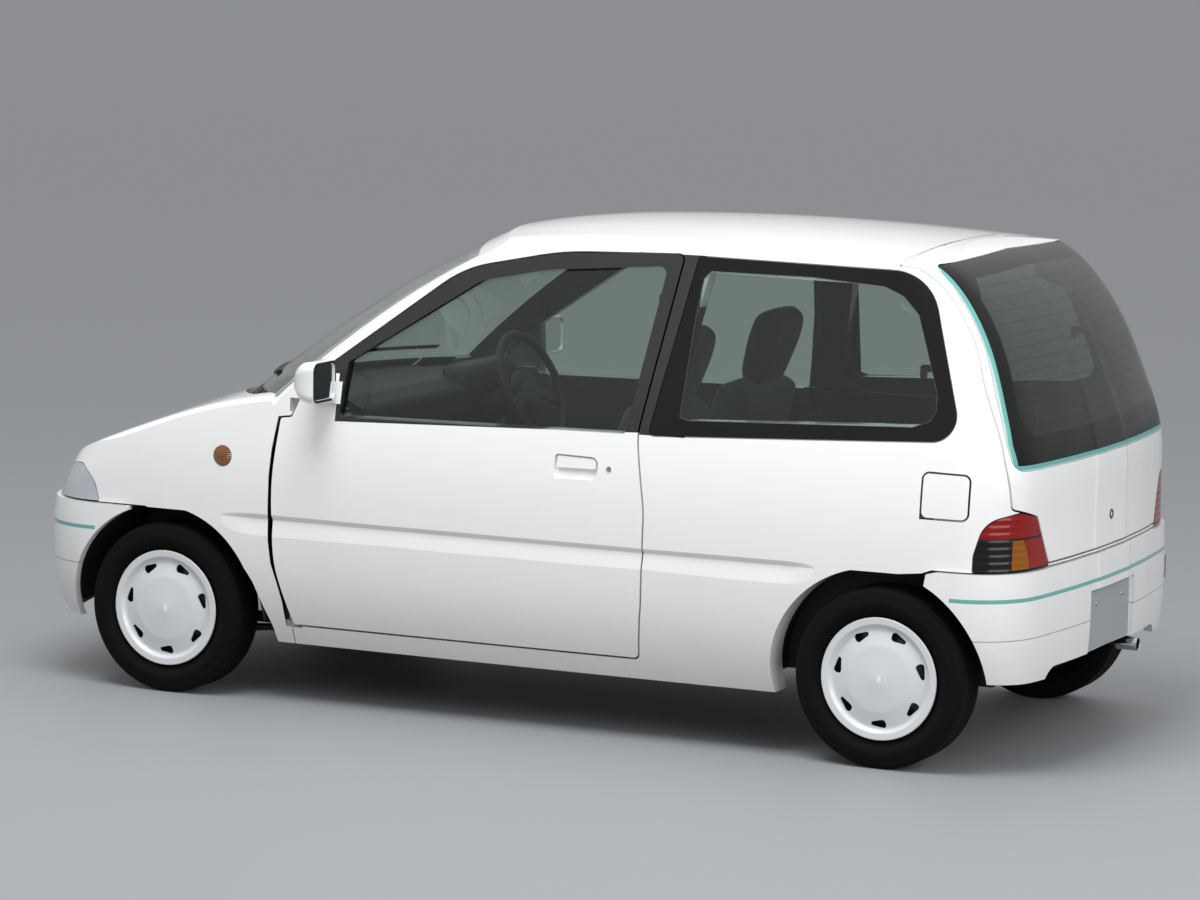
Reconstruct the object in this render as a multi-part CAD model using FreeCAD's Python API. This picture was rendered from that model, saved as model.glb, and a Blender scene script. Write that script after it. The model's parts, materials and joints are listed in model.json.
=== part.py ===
import FreeCAD, Part
import math
import os

# A three-door kei hatchback, right-hand drive, in millimetres.
# +X is forward, +Y is the car's left, +Z is up; the origin is on the ground
# under the middle of the car's length. Paired pieces are drawn on the left
# and mirrored, and what crosses the car is drawn as a left half and joined.

# Driving dimensions of the whole car
WHEELBASE = 2260.0
FRONT_OVERHANG = 560.0
REAR_OVERHANG = 435.0
TRACK = 1220.0
BODY_HALF_WIDTH = 697.0
BUMPER_PROUD = 12.0
ROOF_HEIGHT = 1430.0

XF = (WHEELBASE + REAR_OVERHANG - FRONT_OVERHANG) / 2
XR = XF - WHEELBASE
NOSE_X = XF + FRONT_OVERHANG - BUMPER_PROUD
TAIL_X = XR - REAR_OVERHANG + BUMPER_PROUD

# Wheels: 145/70 R12 tyres, pressed steel rims and round plastic covers
TYRE_RADIUS = 250.0
TYRE_WIDTH = 145.0
RIM_RADIUS = 158.0
RIM_WALL = 8.0
RIM_FLANGE = 7.0
RIM_HALF_WIDTH = 56.0
TREAD_GROOVE = 6.0
COVER_RADIUS = 170.0
COVER_OUT = 58.0
COVER_DOME = 12.0
COVER_WINDOWS = 7
WINDOW_AT = 127.0
HUB_RADIUS = 46.0
HUB_IN = -14.0
HUB_OUT = 18.0
SPINDLE_RADIUS = 15.0
RUNNING_GAP = 0.4
WHEEL_Y = TRACK / 2

# Panel build-up, measured inwards from the outer skin
SHUT_GAP = 5.5
SKIN = 14.0
DOOR_THICK = 62.0
DOOR_FRAME_THICK = 36.0
SEAL_GAP = 6.0
DOOR_STOP = 16.0
FRAME_THICK = 84.0
PILLAR_THICK = 52.0
GLASS = 4.5
GLASS_SEAT = 0.3
WING_THICK = 12.0
BUMPER_THICK = 26.0
TAILGATE_THICK = 42.0
ROOF_THICK = 24.0
BONNET_THICK = 20.0
LAMP_DEPTH = 44.0
HEADLAMP_DEPTH = 58.0
FLOOR_THICK = 22.0
SHEET = 12.0
PART_GAP = 0.4

# Heights of the main lines
SILL_BOTTOM = 178.0
SILL_TOP = 233.0
BELT_Z = 872.0
FLOOR_Z = 190.0
LOAD_FLOOR_Z = 412.0
BUMPER_TOP = 560.0
FRONT_BUMPER_TOP = 545.0
BUMPER_LIP = 240.0

# Wheel arches
ARCH_RADIUS = 315.0
REAR_ARCH_X = XR + 10.0
ARCH_Z = 240.0
ARCH_TOP = 546.0
FRONT_WELL_Y = 386.0
REAR_WELL_Y = 518.0

# Door and steering axes
DOOR_AXIS_X = XF - 430.0
POST_REAR_X = DOOR_AXIS_X - 52.0
POST_INNER_Y = 508.0
DOOR_AXIS_Y = 650.0
CORNER_LOW = 842.0
CORNER_HIGH = 897.0
CORNER_SWEEP = 24.0
CORNER_OUT = 14.6
HINGE_PIN = 6.0
PIN_GAP = 0.3
HINGE_CLEAR = 5.0
KINGPIN_Y = TRACK / 2 - 40.0

# Slope of the sides that a crowned skin is drawn down with
SIDE_FLARE = 0.344

# Plan radii of the body's horizontal sections
SIDE_RADIUS = 52000.0
NOSE_RADIUS = 1500.0
TAIL_RADIUS = 3600.0

# Horizontal sections of the body: height, narrowing of the half width,
# set-back of nose and tail, plan radius of the front and rear corners
HULL_SECTIONS = (
    (150.0, 68.0, 90.0, 60.0, 190.0, 150.0),
    (230.0, 30.0, 30.0, 16.0, 200.0, 165.0),
    (340.0, 6.0, 4.0, 2.0, 210.0, 175.0),
    (450.0, 0.0, 0.0, 0.0, 215.0, 180.0),
    (570.0, 2.0, 18.0, 3.0, 215.0, 180.0),
    (700.0, 7.0, 90.0, 5.0, 215.0, 175.0),
    (850.0, 27.0, 160.0, 10.0, 215.0, 165.0),
    (1000.0, 60.0, 200.0, 58.0, 215.0, 150.0),
    (1150.0, 98.0, 230.0, 118.0, 215.0, 140.0),
    (1250.0, 123.0, 250.0, 178.0, 215.0, 135.0),
    (1330.0, 143.0, 265.0, 250.0, 215.0, 130.0),
    (1390.0, 158.0, 275.0, 355.0, 215.0, 130.0),
    (1460.0, 174.0, 285.0, 560.0, 215.0, 130.0),
)

# Cross-sections of the roof: station, drop of the centre line, half width
ROOF_RADIUS = 4200.0
ROOF_SHOULDER = 82.0
ROOF_SECTIONS = (
    (XF - 560.0, 175.0, 606.0),
    (XF - 800.0, 62.0, 584.0),
    (XF - 1010.0, 24.0, 571.0),
    (XF - 1280.0, 6.0, 563.0),
    (XR + 650.0, 0.0, 560.0),
    (XR + 330.0, 7.0, 560.0),
    (XR + 60.0, 21.0, 562.0),
    (XR - 260.0, 48.0, 568.0),
    (XR - 560.0, 90.0, 580.0),
)

# Cross-sections of the bonnet: station, height of the centre line, half width
BONNET_RADIUS = 6000.0
BONNET_SHOULDER = 75.0
BONNET_SECTIONS = (
    (XF + 640.0, 440.0, 700.0),
    (XF + 560.0, 572.0, 700.0),
    (XF + 515.0, 630.0, 700.0),
    (XF + 450.0, 662.0, 700.0),
    (XF + 330.0, 718.0, 699.0),
    (XF + 170.0, 789.0, 697.0),
    (XF - 30.0, 860.0, 694.0),
    (XF - 230.0, 912.0, 690.0),
    (XF - 480.0, 965.0, 686.0),
)

# Windscreen: plan radius, rake from the horizontal, height and station
SCREEN_RADIUS = 860.0
SCREEN_RAKE = 33.0
SCREEN_EDGE = 26.0
SCREEN_FOOT_Z = 893.0
SCREEN_SECTIONS = (
    (820.0, XF + 20.0),
    (900.0, XF - 80.0),
    (1000.0, XF - 214.0),
    (1100.0, XF - 362.0),
    (1200.0, XF - 522.0),
    (1300.0, XF - 705.0),
    (1360.0, XF - 830.0),
    (1460.0, XF - 1050.0),
)

# Outlines seen from the side: station, height, corner radius
DOOR = (
    (XF - 383.0, 838.0, 8.0),
    (XF - 361.0, 640.0, 1000.0),
    (XF - 374.0, 415.0, 400.0),
    (XF - 430.0, 239.0, 4.0),
    (XR + 727.0, 241.0, 14.0),
    (XR + 714.0, 400.0, 150.0),
    (XR + 711.0, 660.0, 300.0),
    (XR + 745.0, 866.0, 200.0),
    (XR + 664.0, 1364.0, 14.0),
    (XF - 1225.0, 1352.0, 900.0),
    (XF - 920.0, 1290.0, 350.0),
    (XF - 464.0, 950.0, 130.0),
    (XF - 419.0, 842.0, 10.0),
)
DOOR_WINDOW = (
    (XF - 573.0, 853.0, 10.0),
    (XR + 780.0, 868.0, 12.0),
    (XR + 709.0, 1332.0, 22.0),
    (XF - 1190.0, 1303.0, 400.0),
    (XF - 980.0, 1262.0, 80.0),
    (XF - 585.0, 1010.0, 12.0),
)
QUARTER_GLASS = (
    (XR + 617.0, 1363.0, 14.0),
    (XR - 70.0, 1354.0, 150.0),
    (XR - 213.0, 912.0, 66.0),
    (XR + 709.0, 868.0, 14.0),
)
SIDE_FRAME = (
    (XF - 425.0, SILL_BOTTOM, 0.0),
    (XF - 425.0, SILL_TOP, 0.0),
    (XF - 480.0, 300.0, 0.0),
    (XF - 480.0, 800.0, 0.0),
    (XF - 425.0, 842.0, 0.0),
    (XF - 377.0, 842.0, 10.0),
    (XF - 331.0, 901.0, 0.0),
    (XF - 200.0, 1020.0, 0.0),
    (XF - 200.0, 1500.0, 0.0),
    (XR - 520.0, 1500.0, 0.0),
    (XR - 520.0, BUMPER_TOP + 4.0, 0.0),
    (XR - 150.0, BUMPER_TOP + 4.0, 0.0),
    (XR - 120.0, 553.0, 0.0),
    (XR - 55.0, ARCH_TOP, 0.0),
    (XR, 400.0, 0.0),
    (XR + 200.0, SILL_BOTTOM, 0.0),
)
WING = (
    (XF - 421.0, SILL_BOTTOM, 0.0),
    (XF - 421.0, 236.0, 0.0),
    (XF - 470.0, 300.0, 0.0),
    (XF - 470.0, 836.5, 0.0),
    (XF - 381.0, 836.5, 8.0),
    (XF - 335.0, 896.0, 0.0),
    (XF - 230.0, 1010.0, 0.0),
    (XF + 560.0, 1010.0, 0.0),
    (XF + 560.0, FRONT_BUMPER_TOP + 4.0, 0.0),
    (XF + 60.0, FRONT_BUMPER_TOP + 4.0, 0.0),
    (XF, 400.0, 0.0),
    (XF - 200.0, SILL_BOTTOM, 0.0),
)
FRONT_ARCH_TAIL = (
    (XF - 262.0, 412.0, 0.0),
    (XF - 303.0, 355.0, 80.0),
    (XF - 358.0, 227.0, 150.0),
    (XF - 376.0, 100.0, 0.0),
    (XF, 100.0, 0.0),
    (XF, 412.0, 0.0),
)
HEADLAMP = (
    (XF + 224.0, FRONT_BUMPER_TOP + 6.0, 5.0),
    (XF + 242.0, 610.0, 70.0),
    (XF + 300.0, 655.0, 40.0),
    (XF + 640.0, 600.0, 0.0),
    (XF + 640.0, FRONT_BUMPER_TOP + 6.0, 0.0),
)
HEADLAMP_INNER_Y = 330.0
LAMP_INNER_Y = 434.0
FRONT_BUMPER = (
    (XF + 118.0, FRONT_BUMPER_TOP, 4.0),
    (XF + 640.0, FRONT_BUMPER_TOP, 0.0),
    (XF + 640.0, 200.0, 0.0),
    (XF + 300.0, 196.0, 0.0),
    (XF + 100.0, 300.0, 0.0),
)
REAR_BUMPER = (
    (XR - 138.0, BUMPER_TOP - 7.0, 3.0),
    (XR - 165.0, BUMPER_TOP, 0.0),
    (XR - 560.0, BUMPER_TOP, 0.0),
    (XR - 560.0, BUMPER_LIP, 0.0),
    (XR - 304.0, BUMPER_LIP + 18.0, 0.0),
    (XR - 100.0, 320.0, 0.0),
)
TAIL_LAMP = (
    (XR - 264.0, BUMPER_TOP + 5.0, 4.0),
    (XR - 265.0, 610.0, 60.0),
    (XR - 290.0, 700.0, 70.0),
    (XR - 380.0, 727.0, 40.0),
    (XR - 560.0, 731.0, 0.0),
    (XR - 560.0, BUMPER_TOP + 5.0, 0.0),
)
FLAP_MOUTH_X = XR - 108.0
FUEL_FLAP = (
    (FLAP_MOUTH_X, 830.0, 22.0),
    (XR - 250.0, 828.0, 22.0),
    (XR - 250.0, 700.0, 22.0),
    (FLAP_MOUTH_X, 700.0, 22.0),
)

# Outlines seen from behind: distance from the middle, height, corner radius
TAILGATE = (
    (-50.0, 574.0, 0.0),
    (430.0, 574.0, 10.0),
    (497.0, 708.0, 22.0),
    (597.0, 736.0, 10.0),
    (602.0, 850.0, 300.0),
    (577.0, 1047.0, 600.0),
    (548.0, 1160.0, 400.0),
    (523.0, 1290.0, 200.0),
    (503.0, 1470.0, 0.0),
    (-50.0, 1470.0, 0.0),
)
TAILGATE_GLASS = (
    (-50.0, 836.0, 0.0),
    (588.0, 836.0, 34.0),
    (588.0, 905.0, 200.0),
    (563.0, 1047.0, 600.0),
    (536.0, 1160.0, 400.0),
    (511.0, 1290.0, 100.0),
    (488.0, 1372.0, 34.0),
    (-50.0, 1384.0, 0.0),
)
TAILGATE_TOP_X = XR + 24.0
PLATE_WIDTH = 330.0
PLATE_HEIGHT = 165.0
PLATE_Z0 = 288.0
PLATE_Z1 = PLATE_Z0 + PLATE_HEIGHT
FRIT = 42.0

# Door glass, handle and lock
GLASS_DEPTH = 17.0
GLASS_EDGE = 8.0
HANDLE_CUP = (
    (XF - 1270.0, 800.0, 10.0),
    (XF - 1405.0, 797.0, 22.0),
    (XF - 1405.0, 734.0, 22.0),
    (XF - 1270.0, 731.0, 10.0),
)
HANDLE_PADDLE = (
    (XF - 1277.0, 795.0, 6.0),
    (XF - 1398.0, 792.0, 18.0),
    (XF - 1398.0, 764.0, 6.0),
    (XF - 1277.0, 762.0, 6.0),
)
LOCK_X = XR + 820.0
LOCK_Z = 768.0
LOCK_RADIUS = 9.0

# Door mirror housing: station, inner y, outer y, low z, high z, corner radius
MIRROR_SECTIONS = (
    (XF - 565.0, 672.0, 806.0, 903.0, 1018.0, 24.0),
    (XF - 540.0, 670.0, 808.0, 901.0, 1020.0, 28.0),
    (XF - 508.0, 676.0, 798.0, 907.0, 1012.0, 34.0),
    (XF - 484.0, 692.0, 772.0, 924.0, 994.0, 30.0),
)

# Fuel flap
FLAP_THICK = 5.0
FLAP_DEPTH = 42.0
FLAP_AXIS_X = XR - 121.0
FLAP_AXIS_IN = 12.0
FLAP_Z = 765.0
FLAP_PIN = 2.5
FLAP_SWEEP = 26.0
FLAP_SWEEP_LOW = 700.0
FLAP_SWEEP_HIGH = 832.0
FLAP_LIP = 2.5
FLAP_SQUARE = 18.0
FLAP_EAR_FRONT = 3.6
FLAP_EAR_OUT = 3.0

# Roof seams
ROOF_FRONT_X = XF - 828.0
ROOF_SEAM_RADIUS = 1250.0
DITCH = 3.0
PANE_GAP = 4.0

# Front repeater lens
REPEATER_X = XF - 197.0
REPEATER_Z = 715.0
REPEATER_RADIUS = 31.0
REPEATER_DOME = 60.0
REPEATER_PROUD = 9.0

# Bonnet
BONNET_REAR_X = XF - 8.0
BONNET_CORNER_X = XF - 232.0
BONNET_EDGE_Y = 566.0
BONNET_LIP = 622.0
NOSE_SLOT_LOW = 566.0
NOSE_SLOT_HIGH = 594.0
NOSE_BARS = (572.0, 583.0)
BONNET_AXIS_X = XF - 240.0
BONNET_AXIS_Z = 852.0
BONNET_PIN = 5.0
BONNET_LUG_Y = 485.0
LUG_RADIUS = 10.0
LUG_HALF = 5.0
LUG_SIDE_GAP = 4.0
BRACKET_WALL = 10.0
COWL_IN = 28.0
RISER_FROM_Y = 340.0
RISER_CLEAR = 8.0

# Tailgate hinge
TAILGATE_AXIS_X = XR + 8.0
TAILGATE_AXIS_DROP = 11.0
TAILGATE_PIN = 4.0
TAILGATE_BOSS = 5.0
TAILGATE_LUG_Y = 200.0
TAILGATE_INNER = 12.0
SWING_GAP = 5.2

# Front and underbody structure
BULKHEAD_X = XF - 350.0
BULKHEAD_HALF = 556.0
BULKHEAD_TOP = 803.0
RAD_X = XF + 370.0
RAD_TOP = 606.0
RAIL_Z = 262.0
STRUT_Y = 484.0
TOWER_TOP = 722.0
REAR_PANEL_X = XR - 358.0
KICK_X = XR + 600.0
TUNNEL_HALF = 92.0
TUNNEL_TOP = 282.0
TYRE_SEAT = 0.3
KNUCKLE_HALF = 78.0
EYE_HEIGHT = 20.0
EYE_RADIUS = 19.0
KINGPIN_RADIUS = 8.0
BEAM_RADIUS = 26.0
BEAM_GAP = 14.0
LINK_Y = 444.0

# Engine, seats and controls
DRIVER_Y = -315.0
SEAT_WIDTH = 440.0
SEAT_X = XR + 1010.0
SEAT_Z = 330.0
WHEEL_RIM_RADIUS = 182.0
WHEEL_RIM_THICK = 12.0
COLUMN_RAKE = 24.0
COLUMN_X = XF - 700.0
COLUMN_Z = 850.0
COLUMN_RADIUS = 13.0
DASH_HALF = 500.0
DASH_TOP = 885.0
DASH_FOOT = 700.0
DASH_REAR_X = XF - 560.0
ENGINE_Z0 = 272.0
ENGINE_TOP = 620.0
ENGINE_HALF = 280.0
PIPE_Z = 222.0
PIPE_RADIUS = 19.0
CAN_RADIUS = 62.0
COLUMN_GAP = 38.0
COLUMN_REACH = 290.0
SHROUD_REACH = 180.0
SHROUD_RADIUS = 34.0
SEAT_TOP = 965.0
HEAD_REST_LOW = 20.0
HEAD_REST_HIGH = 225.0
HEAD_REST_HALF = 126.0
SEAT_LEAN = 18.0
REAR_SEAT_HALF = 500.0
REAR_SEAT_TOP = 880.0
MIRROR_X = XF - 800.0
MIRROR_Z = 1262.0
MIRROR_HALF = 112.0
WIPER_SPANS = ((-500.0, -40.0), (-10.0, 430.0))
WIPER_LOW = 925.0
WIPER_HIGH = 932.0
PLATE_X = XR - 416.0
PLATE_THICK = 3.0

# The side's pressed crease: station, depth
CREASE_TOP = 559.0
CREASE_DEEP = 541.0
CREASE_FOOT = 482.0
CREASE_STATIONS = (
    (XF - 197.0, 0.4),
    (XF - 290.0, 8.0),
    (XF - 740.0, 8.0),
    (XR + 1130.0, 8.0),
    (XR + 700.0, 8.0),
    (XR + 270.0, 8.0),
    (XR + 191.0, 0.4),
)


def vec(x, y, z):
    return FreeCAD.Vector(x, y, z)


def arc(start, middle, end):
    return Part.Arc(start, middle, end).toShape()


def line(start, end):
    return Part.LineSegment(start, end).toShape()


def box(x0, y0, z0, x1, y1, z1):
    return Part.makeBox(x1 - x0, y1 - y0, z1 - z0, vec(x0, y0, z0))


def rod(start, end, radius):
    return Part.makeCylinder(radius, start.distanceToPoint(end), start, end - start)


def mirrored(shape):
    return shape.mirror(vec(0, 0, 0), vec(0, 1, 0))


def fused(shapes):
    if len(shapes) == 1:
        return shapes[0]
    return shapes[0].multiFuse(shapes[1:])


def both(half):
    """A left half joined to its mirror image."""
    return half.fuse(mirrored(half)).removeSplitter()


def rounded_wire(points, place):
    """A closed wire of lines and tangent arcs; each point is (u, v, radius)."""
    count = len(points)
    corners = []
    for i in range(count):
        u, v, radius = points[i]
        before = points[i - 1]
        after = points[(i + 1) % count]
        a = (before[0] - u, before[1] - v)
        b = (after[0] - u, after[1] - v)
        la = math.hypot(*a)
        lb = math.hypot(*b)
        a = (a[0] / la, a[1] / la)
        b = (b[0] / lb, b[1] / lb)
        half = math.acos(max(-1.0, min(1.0, a[0] * b[0] + a[1] * b[1]))) / 2
        if radius <= 0 or math.pi / 2 - half < 1e-4:
            corners.append(((u, v), None, (u, v)))
            continue
        reach = min(radius / math.tan(half), 0.48 * la, 0.48 * lb)
        bend = reach * math.tan(half)
        depth = bend / math.sin(half) - bend
        mid = (a[0] + b[0], a[1] + b[1])
        lm = math.hypot(*mid)
        corners.append((
            (u + a[0] * reach, v + a[1] * reach),
            (u + mid[0] / lm * depth, v + mid[1] / lm * depth),
            (u + b[0] * reach, v + b[1] * reach),
        ))
    edges = []
    for i in range(count):
        start, middle, end = corners[i]
        if middle:
            edges.append(arc(place(*start), place(*middle), place(*end)))
        after = corners[(i + 1) % count][0]
        if math.hypot(after[0] - end[0], after[1] - end[1]) > 1e-6:
            edges.append(line(place(*end), place(*after)))
    return Part.Wire(edges)


def grown_face(wire, grow):
    face = Part.Face(wire)
    if grow:
        face = Part.Face(face.OuterWire.makeOffset2D(grow))
    return face


def side_prism(points, grow=0.0, y0=0.0, y1=900.0):
    """An outline seen from the side, carried across the left half."""
    wire = rounded_wire(points, lambda u, v: vec(u, y0, v))
    return grown_face(wire, grow).extrude(vec(0, y1 - y0, 0))


def rear_prism(points, grow=0.0, x0=XR - 800.0, x1=XR + 24.0):
    """An outline seen from behind, carried along the car."""
    wire = rounded_wire(points, lambda u, v: vec(x0, u, v))
    return grown_face(wire, grow).extrude(vec(x1 - x0, 0, 0))


def crossing(centre_a, radius_a, centre_b, radius_b, forward):
    """Where two circles cross: the forward or the rearward of the two."""
    dx = centre_b[0] - centre_a[0]
    dy = centre_b[1] - centre_a[1]
    d = math.hypot(dx, dy)
    along = (radius_a ** 2 - radius_b ** 2 + d * d) / (2 * d)
    off = math.sqrt(radius_a ** 2 - along ** 2)
    x = centre_a[0] + along * dx / d
    y = centre_a[1] + along * dy / d
    first = (x - off * dy / d, y + off * dx / d)
    second = (x + off * dy / d, y - off * dx / d)
    return first if (first[0] > second[0]) == forward else second


def heading(centre, point):
    return math.atan2(point[1] - centre[1], point[0] - centre[0])


def along_arc(centre, radius, start, end, shares):
    points = []
    for share in shares:
        angle = start + (end - start) * share
        points.append((centre[0] + radius * math.cos(angle), centre[1] + radius * math.sin(angle)))
    return points


QUARTERS = (0.0, 0.25, 0.5, 0.75)
CORNER_SHARES = (0.0, 1 / 7, 2 / 7, 3 / 7, 4 / 7, 5 / 7, 6 / 7)
SIDE_SHARES = (0.0, 0.03, 0.1, 0.3, 0.5, 0.7, 0.9, 0.97)


def plan_points(z, half_width, nose, tail, front_corner, rear_corner, inset):
    """Nose, corner, side, corner and tail arcs of the left half, tangent in turn."""
    side = (0.0, half_width - SIDE_RADIUS)
    front = (nose - NOSE_RADIUS, 0.0)
    rear = (tail + TAIL_RADIUS, 0.0)
    fc = crossing(front, NOSE_RADIUS - front_corner, side, SIDE_RADIUS - front_corner, True)
    rc = crossing(rear, TAIL_RADIUS - rear_corner, side, SIDE_RADIUS - rear_corner, False)
    a1 = heading(front, fc)
    a2 = heading(side, fc)
    a3 = heading(side, rc)
    a4 = heading(rear, rc)
    points = along_arc(front, NOSE_RADIUS - inset, 0.0, a1, QUARTERS)
    points += along_arc(fc, front_corner - inset, a1, a2, CORNER_SHARES)
    points += along_arc(side, SIDE_RADIUS - inset, a2, a3, SIDE_SHARES)
    points += along_arc(rc, rear_corner - inset, a3, a4, CORNER_SHARES)
    points += along_arc(rear, TAIL_RADIUS - inset, a4, math.pi, QUARTERS)
    points.append((tail + inset, 0.0))
    return [vec(p[0], p[1], z) for p in points]


def chord_steps(points):
    """Share of the whole length at each point."""
    steps = [0.0]
    for a, b in zip(points, points[1:]):
        steps.append(steps[-1] + a.distanceToPoint(b))
    return [step / steps[-1] for step in steps]


def smooth_edge(points, steps, start, end):
    curve = Part.BSplineCurve()
    curve.interpolate(Points=points, Parameters=steps, InitialTangent=start, FinalTangent=end)
    return curve.toShape()


HULLS = {}


def hull(inset):
    """The body's left side, half nose and half tail, moved in by an inset."""
    if inset in HULLS:
        return HULLS[inset]
    z, narrow, nose, tail, fc, rc = HULL_SECTIONS[3]
    steps = chord_steps(plan_points(z, BODY_HALF_WIDTH, NOSE_X, TAIL_X, fc, rc, 0.0))
    wires = []
    for z, narrow, nose, tail, fc, rc in HULL_SECTIONS:
        half_width = BODY_HALF_WIDTH - narrow
        points = plan_points(z, half_width, NOSE_X - nose, TAIL_X + tail, fc, rc, inset)
        speed = 2 * (NOSE_X - TAIL_X)
        edge = smooth_edge(points, steps, vec(0, speed / 4, 0), vec(0, -speed / 4, 0))
        wires.append(Part.Wire([edge, line(points[-1], points[0])]))
    HULLS[inset] = Part.makeLoft(wires, True, False)
    return HULLS[inset]


def crown_points(x, top, half_width, radius, shoulder, inset):
    """Crown arc and shoulder arc of the left half, tangent to each other."""
    reach = half_width - shoulder
    low = top - radius + math.sqrt((radius - shoulder) ** 2 - reach ** 2)
    slope = math.asin(reach / (radius - shoulder))
    points = []
    for share in (0.0, 0.3, 0.6, 0.9):
        a = slope * share
        points.append(vec(x, (radius - inset) * math.sin(a), top - radius + (radius - inset) * math.cos(a)))
    for i in range(8):
        a = slope + (math.pi / 2 - slope) * i / 7
        points.append(vec(x, reach + (shoulder - inset) * math.sin(a), low + (shoulder - inset) * math.cos(a)))
    return points


def crown(sections, radius, shoulder, inset):
    """Everything under a crowned skin, on the left of the middle."""
    foot = 120.0
    steps = None
    wires = []
    for x, top, half_width in sections:
        points = crown_points(x, top, half_width, radius, shoulder, inset)
        if steps is None:
            steps = chord_steps(points)
        edge = smooth_edge(points, steps, vec(0, 800, 0), vec(0, 0, -800))
        spread = points[-1].y + SIDE_FLARE * (points[-1].z - foot)
        corners = [points[-1], vec(x, spread, foot), vec(x, 0, foot), points[0]]
        wires.append(Part.Wire([edge] + [line(a, b) for a, b in zip(corners, corners[1:])]))
    return Part.makeLoft(wires, True, False)


def roof_crown(inset):
    sections = [(x, ROOF_HEIGHT - drop, width) for x, drop, width in ROOF_SECTIONS]
    front = ROOF_SECTIONS[0][0] - 1.0
    ahead = box(front, 0, 120, XF + 300, 900, SCREEN_FOOT_Z + 320)
    return crown(sections, ROOF_RADIUS, ROOF_SHOULDER, inset).fuse(ahead)


def bonnet_crown(inset):
    return crown(BONNET_SECTIONS, BONNET_RADIUS, BONNET_SHOULDER, inset)


def screen_half(inset):
    """Everything behind the windscreen's outer face, on the left."""
    rake = math.radians(SCREEN_RAKE)
    reach = 780.0
    back = XR - 900.0
    top = math.asin(reach / SCREEN_RADIUS)
    steps = None
    wires = []
    for z, tip in SCREEN_SECTIONS:
        centre = (tip - SCREEN_RADIUS, 0.0)
        points = [vec(p[0], p[1], z) for p in along_arc(centre, SCREEN_RADIUS, 0.0, top, [i / 8 for i in range(9)])]
        if steps is None:
            steps = chord_steps(points)
        end = vec(-math.sin(top), math.cos(top), 0) * SCREEN_RADIUS * top
        edge = smooth_edge(points, steps, vec(0, SCREEN_RADIUS * top, 0), end)
        corners = [points[-1], vec(back, reach, z), vec(back, 0, z), points[0]]
        wires.append(Part.Wire([edge] + [line(a, b) for a, b in zip(corners, corners[1:])]))
    foot = Part.Face(wires[0]).extrude(vec(0, 0, -720))
    solid = Part.makeLoft(wires, True, False).fuse(foot)
    solid.translate(vec(-inset * math.sin(rake), 0, -inset * math.cos(rake)))
    return solid


CABINS = {}
NOSES = {}


def cabin(side_in, roof_in, screen_in):
    """The half cabin and tail, with its own inset for side, roof and screen."""
    key = (side_in, roof_in, screen_in)
    if key not in CABINS:
        shape = hull(side_in).common(roof_crown(roof_in)).common(screen_half(screen_in))
        CABINS[key] = shape
    return CABINS[key]


def nose(inset):
    """The half nose under the bonnet skin."""
    if inset not in NOSES:
        NOSES[inset] = hull(inset).common(bonnet_crown(inset))
    return NOSES[inset]


def side_width(z):
    """Half width of the body at a height, halfway along."""
    rows = HULL_SECTIONS
    for low, high in zip(rows, rows[1:]):
        if z <= high[0]:
            share = (z - low[0]) / (high[0] - low[0])
            return BODY_HALF_WIDTH - low[1] - share * (high[1] - low[1])
    return BODY_HALF_WIDTH - rows[-1][1]


def side_y(x, z, inset=0.0):
    """The body side's distance from the middle."""
    return side_width(z) - x * x / (2 * SIDE_RADIUS) - inset


def arch_cutter(axle_x, radius, y0, y1, top=ARCH_TOP):
    drum = rod(vec(axle_x, y0, ARCH_Z), vec(axle_x, y1, ARCH_Z), radius)
    return drum.common(box(axle_x - 400, y0, -200, axle_x + 400, y1, top))


def crease_cutter():
    """The long shallow groove pressed into the body side."""
    wires = []
    for x, depth in CREASE_STATIONS:
        out = 3.0
        top = vec(x, side_y(x, CREASE_TOP) + out, CREASE_TOP)
        deep = vec(x, side_y(x, CREASE_DEEP) - depth, CREASE_DEEP)
        foot = vec(x, side_y(x, CREASE_FOOT) + out, CREASE_FOOT)
        wires.append(Part.makePolygon([top, deep, foot, top]))
    return Part.makeLoft(wires, True, True)


def door_relief():
    """What the door's front edge sweeps as it turns about its hinge pins."""
    profile = (
        (0.0, 229.0), (30.0, 229.0), (44.0, 300.0), (61.0, 360.0), (78.0, 415.0),
        (86.0, 480.0), (87.0, 580.0), (85.0, 670.0), (77.0, 745.0), (59.0, 842.0), (0.0, 842.0),
    )
    wire = Part.makePolygon([vec(r, 0, z) for r, z in profile] + [vec(0, 0, 229.0)])
    solid = Part.Face(wire).revolve(vec(0, 0, 0), vec(0, 0, 1), 360)
    solid.translate(vec(DOOR_AXIS_X, DOOR_AXIS_Y, 0))
    return solid


def corner_relief():
    """What the door's upper front corner sweeps, behind the outer skin."""
    low = vec(DOOR_AXIS_X, DOOR_AXIS_Y, CORNER_LOW)
    high = vec(DOOR_AXIS_X, DOOR_AXIS_Y, CORNER_HIGH)
    x0 = DOOR_AXIS_X - CORNER_SWEEP - 1
    x1 = DOOR_AXIS_X + CORNER_SWEEP + 1
    inside = box(x0, DOOR_AXIS_Y - 60, CORNER_LOW - 1, x1, DOOR_AXIS_Y + CORNER_OUT, CORNER_HIGH + 1)
    return rod(low, high, CORNER_SWEEP).common(inside)


HINGE_HEIGHTS = (330.0, 720.0)
HINGE_HALF = 26.0
HINGE_EAR = 16.0


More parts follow.
